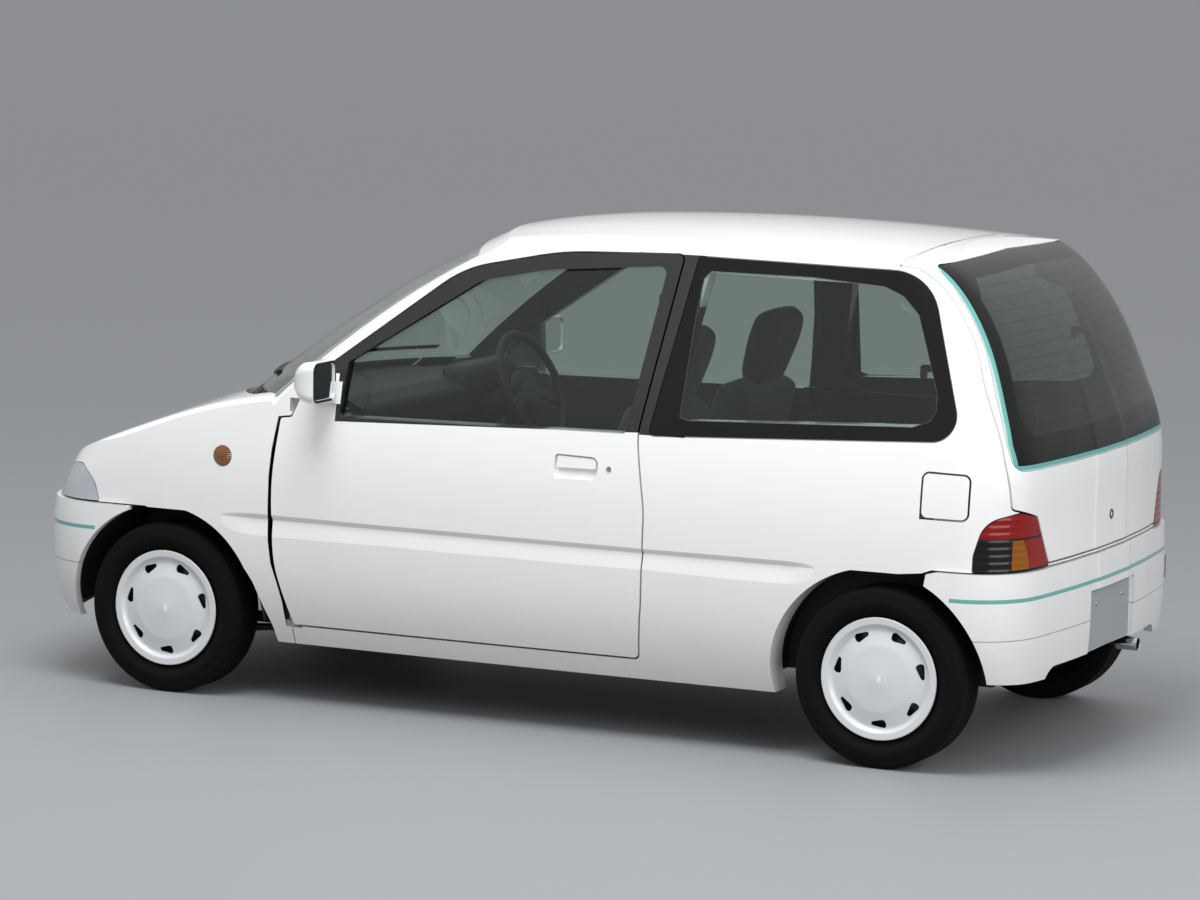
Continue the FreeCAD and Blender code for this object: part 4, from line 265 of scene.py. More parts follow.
panels = [(tree, shader)]
flap_paint, *flap_nodes = lacquer("flap_lacquer_and_gap_shade")
panels.append(flap_nodes)
for tree, shader in panels:
    x, y, z, away = spot_of(tree)
    normal = add_node(tree, "NewGeometry").outputs["Normal"]
    facing = add_node(tree, "SeparateXYZ", {0: normal}).outputs["Y"]
    steep = add_node(tree, "Math", {0: facing}, operation="ABSOLUTE").outputs[0]
    # Painted shade: the steep walls of the fuel flap's gap are painted black.
    gap_shade = within(tree, (steep, None, 0.5), (x, *FLAP_PLACE), (z, *FLAP_HEIGHT))
    paint_over(tree, shader, gap_shade, TRIM_BLACK, 0.5)

roof_paint, tree, shader = lacquer("roof_lacquer_and_lining")
up = add_node(tree, "SeparateXYZ", {0: add_node(tree, "NewGeometry").outputs["Normal"]}).outputs["Z"]
paint_over(tree, shader, within(tree, (up, None, -0.3), soft=0.05), LINING_GREY, 0.9)

# %% [markdown]
# A thin line of teal tape runs round each bumper. It is as tall as a finger is
# thick and stops short of the wheel arch on the front one.

# %% Bumper paint
STRIPE = 5.5 * MM
GROOVE_SHADE = 1.3 * MM


def striped(name, height, ends, split):
    """Bumper lacquer with a thin painted line and a grey band of painted shade for a moulded groove."""
    material, tree, shader = lacquer(name)
    x, y, z, away = spot_of(tree)
    line = within(tree, (z, height - STRIPE, height + STRIPE), (x, *ends))
    paint_over(tree, shader, line, TEAL, 0.3)
    # Painted shade: a grey band at the split height stands for the shade in the moulded groove.
    paint_over(tree, shader, within(tree, (z, split - GROOVE_SHADE, split + GROOVE_SHADE)), "8B8E91", 0.6)
    return material


front_bumper_paint = striped("front_bumper_lacquer", 0.472, (FRONT_AXLE + 0.229, None), 0.362)
rear_bumper_paint = striped("rear_bumper_lacquer", 0.487, (None, REAR_AXLE - 0.207), 0.378)

# %% [markdown]
# The door mirror's shell is painted, and its silvered glass looks backwards.

# %% Mirror
mirror_paint, tree, shader = lacquer("mirror_lacquer_and_silvering")
back = add_node(tree, "SeparateXYZ", {0: add_node(tree, "NewGeometry").outputs["Normal"]}).outputs["X"]
paint_over(tree, shader, within(tree, (back, None, -0.97), soft=0.01), "E4E7E9", 0.04, 1.0)

# %% [markdown]
# Window glass is soda-lime float glass, about 4 mm thick with a faint green
# body colour. It is a real closed pane here, so the light bends in and out.
# The rear window is tinted, with a black print round its edge and a teal border
# on three sides, and carries thin heated lines. A thin light grey line along its
# sides and bottom edge is a painted highlight.

# %% Glass
ROLLER_WAVE = 0.12
window_glass, tree, shader = new_finish(
    "float_glass", "DCE9E3", 0.0, ROLLER_WAVE, 0.02 * MM, Transmission_Weight=1.0, IOR=1.45
)
PANE_SIDE = 0.588
PANE_LEAN = 0.20
PANE_LEAN_FROM = 0.905
PANE_LOW = 0.836
PANE_TOP = 1.384
PANE_TOP_FALL = 0.0246
NO_BAND = -20 * MM
EDGE_HIGHLIGHT_BAND = (3 * MM, NO_BAND, 3 * MM)
TEAL_BAND = (14 * MM, NO_BAND, 14 * MM)
BLACK_BAND = (55 * MM, 40 * MM, 88 * MM)
WIRE_STEP = 32 * MM
WIRE_SHARE = 0.022
WIRE_REACH = 0.47
WIRE_HEIGHT = (0.90, 1.33)
CORNER_CUT = 0.9
rear_glass, tree, shader = new_finish(
    "tinted_rear_glass", "7F8886", 0.0, ROLLER_WAVE, 0.02 * MM, Transmission_Weight=1.0, IOR=1.45
)
x, y, z, away = spot_of(tree)
above = add_node(tree, "Math", {0: z, 1: PANE_LEAN_FROM}, operation="SUBTRACT").outputs[0]
leaning = add_node(tree, "Math", {0: above, 1: 0.0}, operation="MAXIMUM").outputs[0]
reach = weighed(tree, leaning, PANE_LEAN, away)
rise = weighed(tree, away, PANE_TOP_FALL, z)
rows = add_node(tree, "Math", {0: z, 1: 1 / WIRE_STEP}, operation="MULTIPLY").outputs[0]
share = add_node(tree, "Math", {0: rows}, operation="FRACT").outputs[0]
wires = within(tree, (share, None, WIRE_SHARE), (away, None, WIRE_REACH), (z, *WIRE_HEIGHT), soft=0.006)
layers = [(wires, "3A2A20", 0.5)]
low_corner = weighed(tree, z, -1.0, reach)
top_corner = weighed(tree, rise, 1.0, reach)
# The light grey edge band is a painted highlight along the pane's edge; the black and teal bands are print.
for (side, top, low), hex_value in ((BLACK_BAND, "060708"), (TEAL_BAND, TEAL), (EDGE_HIGHLIGHT_BAND, "B9C4C2")):
    corner = CORNER_CUT * side if top > 0 else 0.0
    right, upper, lower = PANE_SIDE - side, PANE_TOP - top, PANE_LOW + low
    clear = within(
        tree, (reach, None, right), (rise, None, upper), (z, lower, None),
        (low_corner, None, right - lower - corner), (top_corner, None, right + upper - corner),
    )
    border = add_node(tree, "Math", {0: 1.0, 1: clear}, operation="SUBTRACT").outputs[0]
    layers.append((border, hex_value, 0.12))
print_and_highlight = 0.0
for mask, hex_value, dull in layers:
    paint_over(tree, shader, mask, hex_value, dull)
    print_and_highlight = add_node(tree, "Math", {0: print_and_highlight, 1: mask}, operation="MAXIMUM").outputs[0]
clearness = add_node(tree, "Math", {0: 1.0, 1: print_and_highlight}, operation="SUBTRACT").outputs[0]
tree.links.new(clearness, shader.inputs["Transmission Weight"])

# %% [markdown]
# The fixed side window is glued in from outside. A black ceramic print hides
# the glue, so only the middle of the pane is clear. Its clear part has straight
# sides and cut corners, so it is what lies inside twelve straight lines.

# %% Fixed side window
CLEAR_PANE = (
    (-0.6155, 1.325), (-0.9215, 1.325), (-1.1325, 1.311), (-1.1915, 1.288), (-1.2405, 1.242),
    (-1.3205, 1.034), (-1.3225, 0.990), (-1.3080, 0.962), (-1.2585, 0.943), (-0.5975, 0.917),
    (-0.5660, 0.926), (-0.5575, 0.943), (-0.5855, 1.210), (-0.5895, 1.297),
)
quarter_glass, tree, shader = new_finish(
    "bordered_side_glass", "DCE9E3", 0.0, ROLLER_WAVE, 0.02 * MM, Transmission_Weight=1.0, IOR=1.45
)
spot = add_node(tree, "TexCoord").outputs["Object"]
limits = []
for (x0, z0), (x1, z1) in zip(CLEAR_PANE, CLEAR_PANE[1:] + CLEAR_PANE[:1]):
    outward = Vector((z1 - z0, 0.0, x0 - x1)).normalized()
    dot = add_node(tree, "VectorMath", {0: spot, 1: outward}, operation="DOT_PRODUCT")
    limits.append((dot.outputs["Value"], None, outward.dot(Vector((x0, 0.0, z0)))))
clear = within(tree, *limits)
border = add_node(tree, "Math", {0: 1.0, 1: clear}, operation="SUBTRACT").outputs[0]
paint_over(tree, shader, border, "070708", 0.15)
tree.links.new(clear, shader.inputs["Transmission Weight"])

# %% [markdown]
# The cowl tray, wipers and dash are moulded plastics. Moulding
# copies a fine grain from the tool into the surface, shown here as bump.

# %% Plastics
GRAIN = 1.2 * MM
black_plastic, *_ = new_finish(
    "grained_black_plastic", "0E0E0F", 0.55, GRAIN, 0.08 * MM, "TexVoronoi", IOR=1.5
)
dash_plastic, *_ = new_finish(
    "grained_dash_plastic", "2C2E30", 0.6, 1.8 * MM, 0.08 * MM, "TexVoronoi", IOR=1.5
)

# %% [markdown]
# A tyre is black rubber. Cross cuts in the tread let water out, and the mould
# leaves fine rings on the side wall. Both follow the angle and the radius
# about the wheel's own axle, so they turn with it.

# %% Tyres
TREAD_CUTS = 64
TREAD_HALF = 0.055
TREAD_RADIUS = 0.236
CUT_SHARE = 0.16
RING_STEP = 5 * MM
RINGED = (0.176, 0.200)


def tyre_finish(name, axle):
    """Rubber with cross cuts in its tread and rings on its side."""
    material, tree, shader = new_finish(name, "040404", 0.9, Specular_IOR_Level=0.2)
    x, y, z, away = spot_of(tree)
    ahead = add_node(tree, "Math", {0: x, 1: axle}, operation="SUBTRACT").outputs[0]
    over = add_node(tree, "Math", {0: z, 1: AXLE_HEIGHT}, operation="SUBTRACT").outputs[0]
    angle = add_node(tree, "Math", {0: over, 1: ahead}, operation="ARCTAN2").outputs[0]
    turns = add_node(tree, "Math", {0: angle, 1: TREAD_CUTS / math.tau}, operation="MULTIPLY").outputs[0]
    share = add_node(tree, "Math", {0: turns}, operation="FRACT").outputs[0]
    flat = add_node(tree, "CombineXYZ", {0: ahead, 1: over})
    radius = add_node(tree, "VectorMath", {0: flat.outputs[0]}, operation="LENGTH").outputs["Value"]
    across = add_node(tree, "Math", {0: away, 1: WHEEL_Y}, operation="SUBTRACT").outputs[0]
    cuts = within(
        tree, (share, None, CUT_SHARE), (radius, TREAD_RADIUS, None), (across, -TREAD_HALF, TREAD_HALF),
        soft=0.002,
    )
    swing = add_node(tree, "Math", {0: radius, 1: math.tau / RING_STEP}, operation="MULTIPLY").outputs[0]
    rings = add_node(tree, "Math", {0: swing}, operation="SINE").outputs[0]
    ringed = within(tree, (radius, *RINGED))
    side_rings = add_node(tree, "Math", {0: rings, 1: ringed}, operation="MULTIPLY")
    height = weighed(tree, side_rings.outputs[0], 0.15, cuts)
    relief = add_node(tree, "Bump", {"Height": height, "Distance": 1.2 * MM, "Strength": 0.8}, invert=True)
    tree.links.new(relief.outputs[0], shader.inputs["Normal"])
    paint_over(tree, shader, cuts, "040404", 0.9)
    return material


front_tyre = tyre_finish("front_tread_rubber", FRONT_AXLE)
rear_tyre = tyre_finish("rear_tread_rubber", REAR_AXLE)

# %% [markdown]
# Each wheel is a black steel rim behind a round plastic cover, which is
# painted a silvery white. The rim shows only through the cover's windows.

# %% Wheels
COVER_REAR = 0.028
cover_white, tree, shader = new_finish(
    "wheel_cover_paint", "D5D8DA", 0.34, RIPPLE, 0.02 * MM, Coat_Weight=0.7, Coat_Roughness=0.08
)
x, y, z, away = spot_of(tree)
paint_over(tree, shader, within(tree, (away, None, WHEEL_Y + COVER_REAR)), "17181A", 0.55)

# %% [markdown]
# Under the car the steel is dipped and sprayed with a thick, dull black
# coating, and the engine casting is left as it comes from the sand mould.

# %% Metals
coated_steel, *_ = new_finish("underbody_coating", "141415", 0.65, 2.5 * MM, 0.1 * MM)
cast_block, *_ = new_finish("sand_cast_iron", "55575A", 0.5, 1.5 * MM, 0.1 * MM, Metallic=0.6)
plate_sheet, *_ = new_finish("plain_plate", "969A9C", 0.42, 0.7 * MM, 0.01 * MM)
chrome, *_ = new_finish("bright_chrome", "C8CACC", 0.12, 2 * MM, 0.004 * MM, Metallic=1.0)
lock_barrel, *_ = new_finish("satin_lock_barrel", "6A6D70", 0.3, 1 * MM, 0.01 * MM, Metallic=1.0)
zinc, *_ = new_finish("zinc_plated_screw", "A9ACAE", 0.32, 1 * MM, 0.02 * MM, Metallic=1.0)

# %% [markdown]
# Lamp lenses are clear or dyed acrylic with ribs moulded into them, which
# spread the light. The rear one is red, with an amber turn signal block whose
# inner edge is an arc, and a smoked block low down at the outer corner.

# %% Lamps
RIB = 20 * MM
AMBER = "8C5206"
AMBER_CENTRE = (0.705, 0.565, 0.0)
AMBER_REACH = 0.165
BLOCK_SPLIT = REAR_AXLE - 0.348
BLOCK_TOP = 0.652
LAMP_FRONT = REAR_AXLE - 0.265
LAMP_LOW = 0.566
LAMP_LINE = 3 * MM


def ribbed(name, base, roughness, axis, pitch, **sockets):
    """A lens finish with half-round ribs along one direction."""
    sockets = {"Coat_Weight": 1.0, "IOR": 1.49, **sockets}
    material, tree, shader = new_finish(name, base, roughness, **sockets)
    spot = spot_of(tree)[axis]
    swing = add_node(tree, "Math", {0: spot, 1: math.tau / pitch}, operation="MULTIPLY").outputs[0]
    wave = add_node(tree, "Math", {0: swing}, operation="SINE").outputs[0]
    relief = add_node(tree, "Bump", {"Height": wave, "Distance": 1.2 * MM, "Strength": 0.7})
    tree.links.new(relief.outputs[0], shader.inputs["Normal"])
    return material, tree, shader


amber_lens, *_ = ribbed("amber_lens", AMBER, 0.08, 2, 6 * MM, Transmission_Weight=0.25)
smoked_lens, *_ = ribbed("smoked_lens", "5A5C5E", 0.1, 2, 6 * MM, Transmission_Weight=0.2)
clear_lens, *_ = ribbed("clear_lens", "C3CACE", 0.04, 1, 9 * MM, Transmission_Weight=0.15)
tail_lens, tree, shader = ribbed(
    "tail_lens", "860A05", 0.12, 2, RIB, Coat_Weight=0.25, Specular_IOR_Level=0.3
)
x, y, z, away = spot_of(tree)
flat = add_node(tree, "CombineXYZ", {0: away, 1: z})
arc = add_node(tree, "VectorMath", {0: flat.outputs[0], 1: AMBER_CENTRE}, operation="DISTANCE")
amber = within(tree, (arc.outputs["Value"], None, AMBER_REACH), (x, None, BLOCK_SPLIT), (z, None, BLOCK_TOP))
paint_over(tree, shader, amber, AMBER, 0.1)
paint_over(tree, shader, within(tree, (x, BLOCK_SPLIT, None), (z, None, BLOCK_TOP)), "0D0707", 0.12)
for value, middle in ((z, BLOCK_TOP), (x, BLOCK_SPLIT), (x, LAMP_FRONT), (z, LAMP_LOW)):
    edge = [(value, middle - LAMP_LINE, middle + LAMP_LINE)]
    if middle == BLOCK_SPLIT:
        edge.append((z, None, BLOCK_TOP))
    paint_over(tree, shader, within(tree, *edge), "120606", 0.25)

# %% [markdown]
# The seats are foam under a woven cloth. Two thread directions cross every
# millimetre, and the light catches the raised threads. The head restraints
# are the darkest, and the back of the rear seat is a lighter grey.

# %% Seat cloth
THREAD = 1.1 * MM


def cloth(name, base):
    """Plain woven upholstery with warp and weft threads."""
    material, tree, shader = new_finish(name, base, 0.92, Sheen_Weight=0.25)
    spot = add_node(tree, "TexCoord").outputs["Object"]
    height = 0.0
    for direction in ("Y", "Z"):
        bands = {"Vector": spot, "Scale": math.tau / (20 * THREAD), "Distortion": 0.3}
        wave = add_node(tree, "TexWave", bands, bands_direction=direction)
        height = add_node(tree, "Math", {0: height, 1: wave.outputs[1]}, operation="ADD").outputs[0]
    relief = add_node(tree, "Bump", {"Height": height, "Distance": 0.25 * MM, "Strength": 0.6})
    tree.links.new(relief.outputs[0], shader.inputs["Normal"])
    return material


dark_cloth = cloth("dark_grey_cloth", "3B3D40")
middle_cloth = cloth("grey_seat_cloth", "5A5C5F")
light_cloth = cloth("light_grey_cloth", "9C9EA0")
belt_web = cloth("seat_belt_webbing", "1C1D1F")

# %% Give each solid its finish
FINISHES = {
    "side_frame_left": side_paint, "side_frame_right": side_paint, "roof_panel": roof_paint,
    "door_left": door_paint, "door_right": door_paint, "door_mirror_left": mirror_paint,
    "door_mirror_right": mirror_paint, "bumper_front": front_bumper_paint,
    "bumper_rear": rear_bumper_paint, "tailgate_glass": rear_glass, "headlamps": clear_lens,
    "tail_lamps": tail_lens, "repeaters": amber_lens, "engine_block": cast_block,
    "number_plate": plate_sheet, "fuel_flap": flap_paint,
}
GROUPS = (
    (paint, "wing_left wing_right bonnet nose_panel tailgate"),
    (window_glass, "windscreen door_glass_left door_glass_right"),
    (quarter_glass, "quarter_glasses"),
    (black_plastic, "cowl wipers"),
    (dash_plastic, "dashboard steering_column steering_wheel cabin_mirror"),
    (middle_cloth, "front_seats rear_seat"),
    (coated_steel, "floor_pan bulkhead front_structure fuel_tank exhaust front_suspension rear_axle"),
    (coated_steel, "knuckle_left knuckle_right"),
    (front_tyre, "tyre_front_left tyre_front_right"),
    (rear_tyre, "tyre_rear_left tyre_rear_right"),
    (cover_white, "wheel_front_left wheel_front_right wheel_rear_left wheel_rear_right"),
)
for finish, names in GROUPS:
    for name in names.split():
        FINISHES[name] = finish
for name, node in nodes.items():
    node.data.materials.clear()
    node.data.materials.append(FINISHES[name])
print(len(nodes), "solids have their finish")

# %% [markdown]
# Small pieces are fixed to panels that are already there. A ray sent at a
# solid finds the exact spot and slope of its surface, so each piece sits on it.

# %% Helpers for pieces
BODY_NAMES = {empty: name for name, empty in frame["bodies"].items()}


def body_of(node):
    """The name of the moving body that a solid belongs to."""
    holder = nodes[node]
    while holder not in BODY_NAMES:
        holder = holder.parent
    return BODY_NAMES[holder]


def touch(node, start, direction):
    """Where a ray meets a solid, and the surface's direction there."""
    mesh = nodes[node].data
    corners = [v.co.copy() for v in mesh.vertices]
    tree = BVHTree.FromPolygons(corners, [tuple(p.vertices) for p in mesh.polygons])
    place, normal, *_ = tree.ray_cast(Vector(start), Vector(direction))
    return place, normal


def to_piece(name, form, finish, node, sharp=40.0):
    """A smooth-shaded piece from a shape, which moves with one of the solids."""
    bmesh.ops.remove_doubles(form, verts=form.verts, dist=1e-5)
    bmesh.ops.recalc_face_normals(form, faces=form.faces)
    mesh = bpy.data.meshes.new(name)
    form.to_mesh(mesh)
    form.free()
    mesh.materials.append(finish)
    mesh.shade_smooth()
    mesh.set_sharp_from_angle(angle=math.radians(sharp))
    piece = bpy.data.objects.new(name, mesh)
    bpy.context.scene.collection.objects.link(piece)
    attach(piece, body_of(node))
    return piece


def turned(form, profile, place, axis, steps=32):
    """Spins a profile of (radius, height) points about an axis through a place."""
    turn = Vector(axis).to_track_quat("Z", "X").to_matrix().to_4x4()
    where = Matrix.Translation(place) @ turn
    corners = [form.verts.new(where @ Vector((r, 0.0, h))) for r, h in profile]
    edges = [form.edges.new(pair) for pair in zip(corners, corners[1:])]
    bmesh.ops.spin(
        form, geom=corners + edges, cent=place, axis=where.to_3x3() @ Vector((0, 0, 1)),
        angle=math.tau, steps=steps, use_merge=True,
    )


def soft_block(form, size, where, radius, rings=2):
    """A block with rounded edges, at a placing matrix."""
    block = bmesh.ops.create_cube(form, size=1.0, matrix=where @ Matrix.Diagonal((*size, 1.0)))
    edges = list({e for v in block["verts"] for e in v.link_edges})
    bmesh.ops.bevel(
        form, geom=edges, offset=radius, offset_type="OFFSET", segments=rings, profile=0.5,
        affect="EDGES", material=-1,
    )


# %% [markdown]
# The exhaust ends in a short polished pipe under the rear bumper. Its wall is
# thin and rolled at the lip, with the dark bore left open. Two screws hold the
# blank plate, a lock barrel sits in the tailgate, and a small lamp in the
# bumper's right corner. Each profile below is a row of radius and height.

# %% Exhaust tip and screws
BEHIND = -3.0
FORWARD = (1, 0, 0)
BACKWARD = (-1, 0, 0)
TIP_PLACE = Vector((-1.563, -0.221, 0.252))
TIP_PROFILE = (
    (0.0165, 0.0), (0.0190, 0.0), (0.0195, 0.060), (0.0185, 0.062), (0.0165, 0.060), (0.0165, 0.0),
)
SCREW_Y = 0.105
SCREW_Z = 0.415
SCREW_PROFILE = ((0.0, 0.0035), (0.004, 0.003), (0.0065, 0.001), (0.007, -0.001))
LOCK_Z = 0.655
LOCK_PROFILE = (
    (0.0, -0.001), (0.006, -0.001), (0.007, 0.001), (0.012, 0.0025), (0.0145, 0.001), (0.015, -0.002),
)
BUMPER_LAMP_Y = -0.600
BUMPER_LAMP_Z = 0.423
BUMPER_LAMP_SIZE = (0.028, 0.070, 0.012)

form = bmesh.new()
turned(form, TIP_PROFILE, TIP_PLACE, BACKWARD)
to_piece("exhaust_tip", form, chrome, "exhaust")

form = bmesh.new()
for side in (-1, 1):
    place, normal = touch("number_plate", (BEHIND, side * SCREW_Y, SCREW_Z), FORWARD)
    turned(form, SCREW_PROFILE, place, normal, 24)
to_piece("plate_screws", form, zinc, "number_plate")

form = bmesh.new()
place, normal = touch("tailgate", (BEHIND, 0.0, LOCK_Z), FORWARD)
turned(form, LOCK_PROFILE, place, normal, 32)
to_piece("tailgate_lock", form, lock_barrel, "tailgate")

form = bmesh.new()
place, normal = touch("bumper_rear", (BEHIND, BUMPER_LAMP_Y, BUMPER_LAMP_Z), FORWARD)
turn = normal.to_track_quat("Z", "Y").to_matrix().to_4x4()
soft_block(form, BUMPER_LAMP_SIZE, Matrix.Translation(place) @ turn, 0.003)
to_piece("bumper_lamp", form, smoked_lens, "bumper_rear")
print("tip, screws, lock and bumper lamp are on")

# %% [markdown]
# Each seat is foam in a sewn cover. The foam swells between the seams, so a
# rounded block is crowned in the middle of every face, and stitched channels
# pull it in again across the sitting surfaces.

# %% Padded seats
CROWN = 0.012
CHANNEL_DEEP = 0.007
CHANNEL_WIDE = 0.016


def padded_block(name, size, pivot, offset, lean, finish, channels=(), along=2, radius=0.038, waist=0.0):
    """A crowned pad with sewn channels and a narrower foot, leaned back about a pivot."""
    form = bmesh.new()
    soft_block(form, size, Matrix.Identity(4), radius, 3)
    long_edges = [e for e in form.edges if e.calc_length() > 0.08]
    bmesh.ops.subdivide_edges(form, edges=long_edges, cuts=13, use_grid_fill=True)
    half = [length / 2 for length in size]
    thin = 2 if along == 0 else 0
    for vertex in form.verts:
        share = [vertex.co[i] / half[i] for i in range(3)]
        for i in range(3):
            others = [1 - min(1.0, share[j] ** 2) for j in range(3) if j != i]
            vertex.co[i] += CROWN * share[i] * others[0] * others[1]
        if share[thin] > 0.4:
            edge_fade = 1 - min(1.0, abs(share[1])) ** 6
            for channel in channels:
                gap = (share[along] - channel) * half[along] / CHANNEL_WIDE
                vertex.co[thin] -= CHANNEL_DEEP * edge_fade * math.exp(-gap * gap)
    turn = Matrix.Rotation(-math.radians(lean), 4, "Y")
    place = Matrix.Translation(pivot) @ turn @ Matrix.Translation(offset)
    for vertex in form.verts:
        vertex.co.y *= 1 - waist * max(0.0, 0.3 - vertex.co.z / half[2])
    bmesh.ops.transform(form, matrix=place, verts=form.verts)
    piece = to_piece(name, form, finish, "front_seats", 60.0)
    smooth = piece.modifiers.new("soften", "SUBSURF")
    smooth.levels = 1
    smooth.render_levels = 1
    return piece


SEAT_X = REAR_AXLE + 1.010
SEAT_Z = 0.330
SEAT_TOP = 0.965
LEAN = 18.0
HEAD_WAIST = 0.26
DRIVER_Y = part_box("front_seats")[1].y - 0.220
for label, y in (("left", DRIVER_Y), ("right", -DRIVER_Y)):
    pivot = Vector((SEAT_X + 0.030, y, SEAT_Z + 0.060))
    padded_block(
        "seat_cushion_" + label, (0.462, 0.432, 0.122), Vector((SEAT_X + 0.235, y, SEAT_Z + 0.065)),
        (0, 0, 0), 0.0, middle_cloth, (-0.35, 0.1, 0.5), 0,
    )
    back_size = (0.112, 0.412, SEAT_TOP - SEAT_Z - 0.060)
    back = padded_block(
        "seat_back_" + label, back_size, pivot, (-0.060, 0, back_size[2] / 2), LEAN,
        middle_cloth, (-0.45, -0.05, 0.35), 2,
    )
    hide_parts("front_seats")
    rest_z = SEAT_TOP - SEAT_Z - 0.060 + 0.1225
    padded_block(
        "head_restraint_" + label, (0.076, 0.246, 0.228), pivot, (-0.060, 0, rest_z - 0.014), LEAN,
        dark_cloth, (), 2, 0.034, HEAD_WAIST,
    )

# %% [markdown]
# The steel posts of the head restraints slide into the front seat backs, and
# each front cushion stands on two rails. The rear seat is one wide cushion with
# one wide back.

# %% Seat posts and rails, rear seat
POST_PROFILE = ((0.006, 0.0), (0.006, 0.075))
POST_Y = 0.055
RAIL_Y = 0.150
RAIL_SIZE = (0.40, 0.028, 0.060)
REAR_LEAN = 14.0
REAR_TOP = 0.880
REAR_WIDE = 0.990
for label, y in (("left", DRIVER_Y), ("right", -DRIVER_Y)):
    pivot = Vector((SEAT_X + 0.030, y, SEAT_Z + 0.060))
    turn = Matrix.Translation(pivot) @ Matrix.Rotation(-math.radians(LEAN), 4, "Y")
    form = bmesh.new()
    for side in (-1, 1):
        post = turn @ Vector((-0.064, side * POST_Y, 0.520))
        turned(form, POST_PROFILE, post, turn.to_3x3() @ Vector((0, 0, 1)), 16)
    for side in (-1, 1):
        where = Matrix.Translation((SEAT_X + 0.230, y + side * RAIL_Y, SEAT_Z - 0.030))
        soft_block(form, RAIL_SIZE, where, 0.004)
    to_piece("seat_frame_" + label, form, zinc, "front_seats")

rear_low, rear_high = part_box("rear_seat")
KICK_X = rear_high.x - 0.020
base = rear_low.z
padded_block(
    "rear_cushion", (KICK_X + 0.012 - REAR_AXLE - 0.220, REAR_WIDE, 0.112),
    Vector(((KICK_X + REAR_AXLE + 0.240) / 2, 0, base + 0.062)), (0, 0, 0), 0.0, middle_cloth, (0.0,), 0,
)
back_height = REAR_TOP - base - 0.040
rear_back = padded_block(
    "rear_back", (0.102, REAR_WIDE, back_height), Vector((REAR_AXLE + 0.260, 0, base + 0.040)),
    (-0.055, 0, back_height / 2), REAR_LEAN, light_cloth, (-0.4, 0.2), 2,
)
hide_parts("rear_seat")
print("seats are padded")

# %% [markdown]
# A woven belt hangs on the pillar behind each front seat, from a loop near the
# roof to the floor. The fixed side windows carry a small latch at their rear
# edge, inside the glass.

# %% Belts and latches
BELT_WIDE = 0.046
BELT_THICK = 1.6 * MM
BELT_X = -0.475
BELT_STOPS = ((0.520, 1.235), (0.560, 0.900), (0.575, 0.520))
LATCH_X = -1.289
LATCH_Z = 1.10
for label, side in (("left", 1), ("right", -1)):
    form = bmesh.new()
    stops = [Vector((BELT_X, side * y, z)) for y, z in BELT_STOPS]
    for upper, lower in zip(stops, stops[1:]):
        run = upper - lower
        turn = run.to_track_quat("Z", "X").to_matrix().to_4x4()
        where = Matrix.Translation((upper + lower) / 2) @ turn
        soft_block(form, (BELT_WIDE, BELT_THICK, run.length + 0.002), where, 0.0006)
    soft_block(form, (0.060, 0.016, 0.030), Matrix.Translation(stops[0]), 0.005)
    to_piece("belt_" + label, form, belt_web, "side_frame_" + label)

form = bmesh.new()
for side in (1, -1):
    place, normal = touch("quarter_glasses", (LATCH_X, 0, LATCH_Z), (0, side, 0))
    where = Matrix.Translation(place - Vector((0, side * 0.007, 0)))
    soft_block(form, (0.050, 0.012, 0.020), where, 0.004)
    soft_block(form, (0.020, 0.014, 0.036), where @ Matrix.Translation((0.020, 0, -0.010)), 0.005)
to_piece("window_latches", form, black_plastic, "quarter_glasses")
print("belts and latches are on")

# %% [markdown]
# A grey floor, a sky that is brighter overhead than at the horizon, two soft
# lamps and the photograph's own camera. Its place and lens were worked out from
# the car's known sizes.

# %% Floor, light and camera
floor_mesh = bpy.data.meshes.new("floor")
sheet = bmesh.new()
bmesh.ops.create_grid(sheet, x_segments=1, y_segments=1, size=200)
sheet.to_mesh(floor_mesh)
sheet.free()
floor = bpy.data.objects.new("floor", floor_mesh)
bpy.context.scene.collection.objects.link(floor)
floor_finish, *_ = new_finish("grey_floor", "8F9295", 0.6, 3 * MM, 0.05 * MM)
floor_mesh.materials.append(floor_finish)

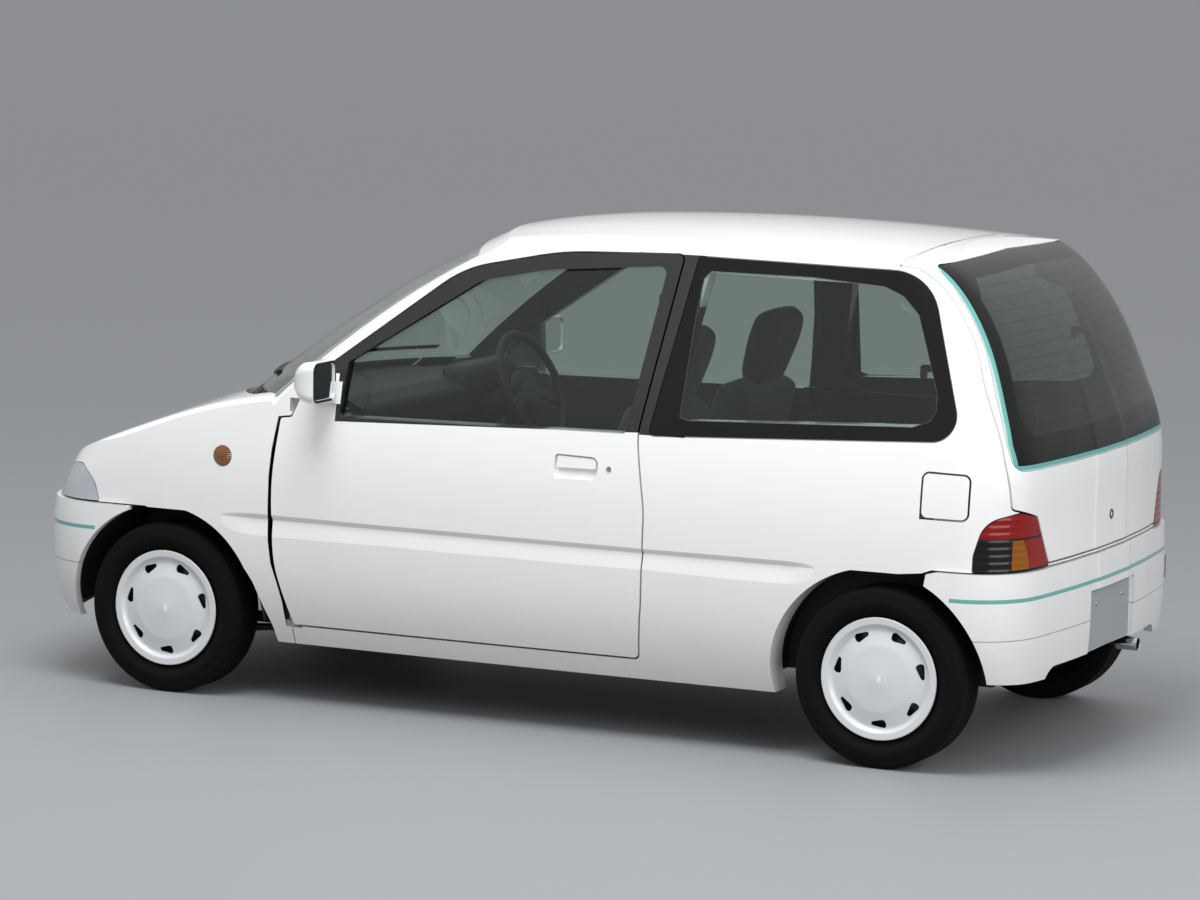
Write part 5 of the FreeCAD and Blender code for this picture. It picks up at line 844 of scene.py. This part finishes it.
bpy.context.scene.view_settings.view_transform = "Standard"
SKY_LOW = 0.40
SKY_HIGH = 0.90
world = bpy.data.worlds.new("studio")
bpy.context.scene.world = world
world.use_nodes = True
sky = world.node_tree.nodes["Background"]
sky.inputs[0].default_value = colour("F3F3F4")
looking = add_node(world.node_tree, "TexCoord").outputs["Generated"]
rise = add_node(world.node_tree, "SeparateXYZ", {0: looking}).outputs["Z"]
glow = add_node(
    world.node_tree, "MapRange",
    {"Value": rise, "From Min": 0.0, "From Max": 0.7, "To Min": SKY_LOW, "To Max": SKY_HIGH},
)
world.node_tree.links.new(glow.outputs[0], sky.inputs[1])


def soft_light(name, place, target, size, power):
    data = bpy.data.lights.new(name, "AREA")
    data.size = size
    data.energy = power
    lamp = bpy.data.objects.new(name, data)
    lamp.location = place
    lamp.rotation_euler = (Vector(target) - Vector(place)).to_track_quat("-Z", "Y").to_euler()
    bpy.context.scene.collection.objects.link(lamp)


soft_light("overhead", (-0.3, 2.6, 6.0), (0, 0, 0.6), 3.0, 280)
soft_light("rear_side", (-6.0, 2.6, 3.0), (-1.0, 0, 0.7), 3.5, 150)

camera_data = bpy.data.cameras.new("camera")
camera = bpy.data.objects.new("camera", camera_data)
bpy.context.scene.collection.objects.link(camera)
CAMERA_PLACE = Vector((-6.0225, 12.4758, 2.5619))
YAW, PITCH, ROLL = (math.radians(a) for a in (-64.29, 7.58, 0.938))
ahead = Vector((math.cos(YAW) * math.cos(PITCH), math.sin(YAW) * math.cos(PITCH), -math.sin(PITCH)))
right = ahead.cross(Vector((0, 0, 1))).normalized()
upward = right.cross(ahead)
turned_right = right * math.cos(ROLL) + upward * math.sin(ROLL)
turned_up = upward * math.cos(ROLL) - right * math.sin(ROLL)
view = Matrix((turned_right, turned_up, -ahead)).transposed().to_4x4()
view.translation = CAMERA_PLACE
camera.matrix_world = view
camera_data.sensor_fit = "HORIZONTAL"
camera_data.sensor_width = 36.0
camera_data.lens = 142.17
camera_data.clip_end = 200.0
bpy.context.scene.camera = camera
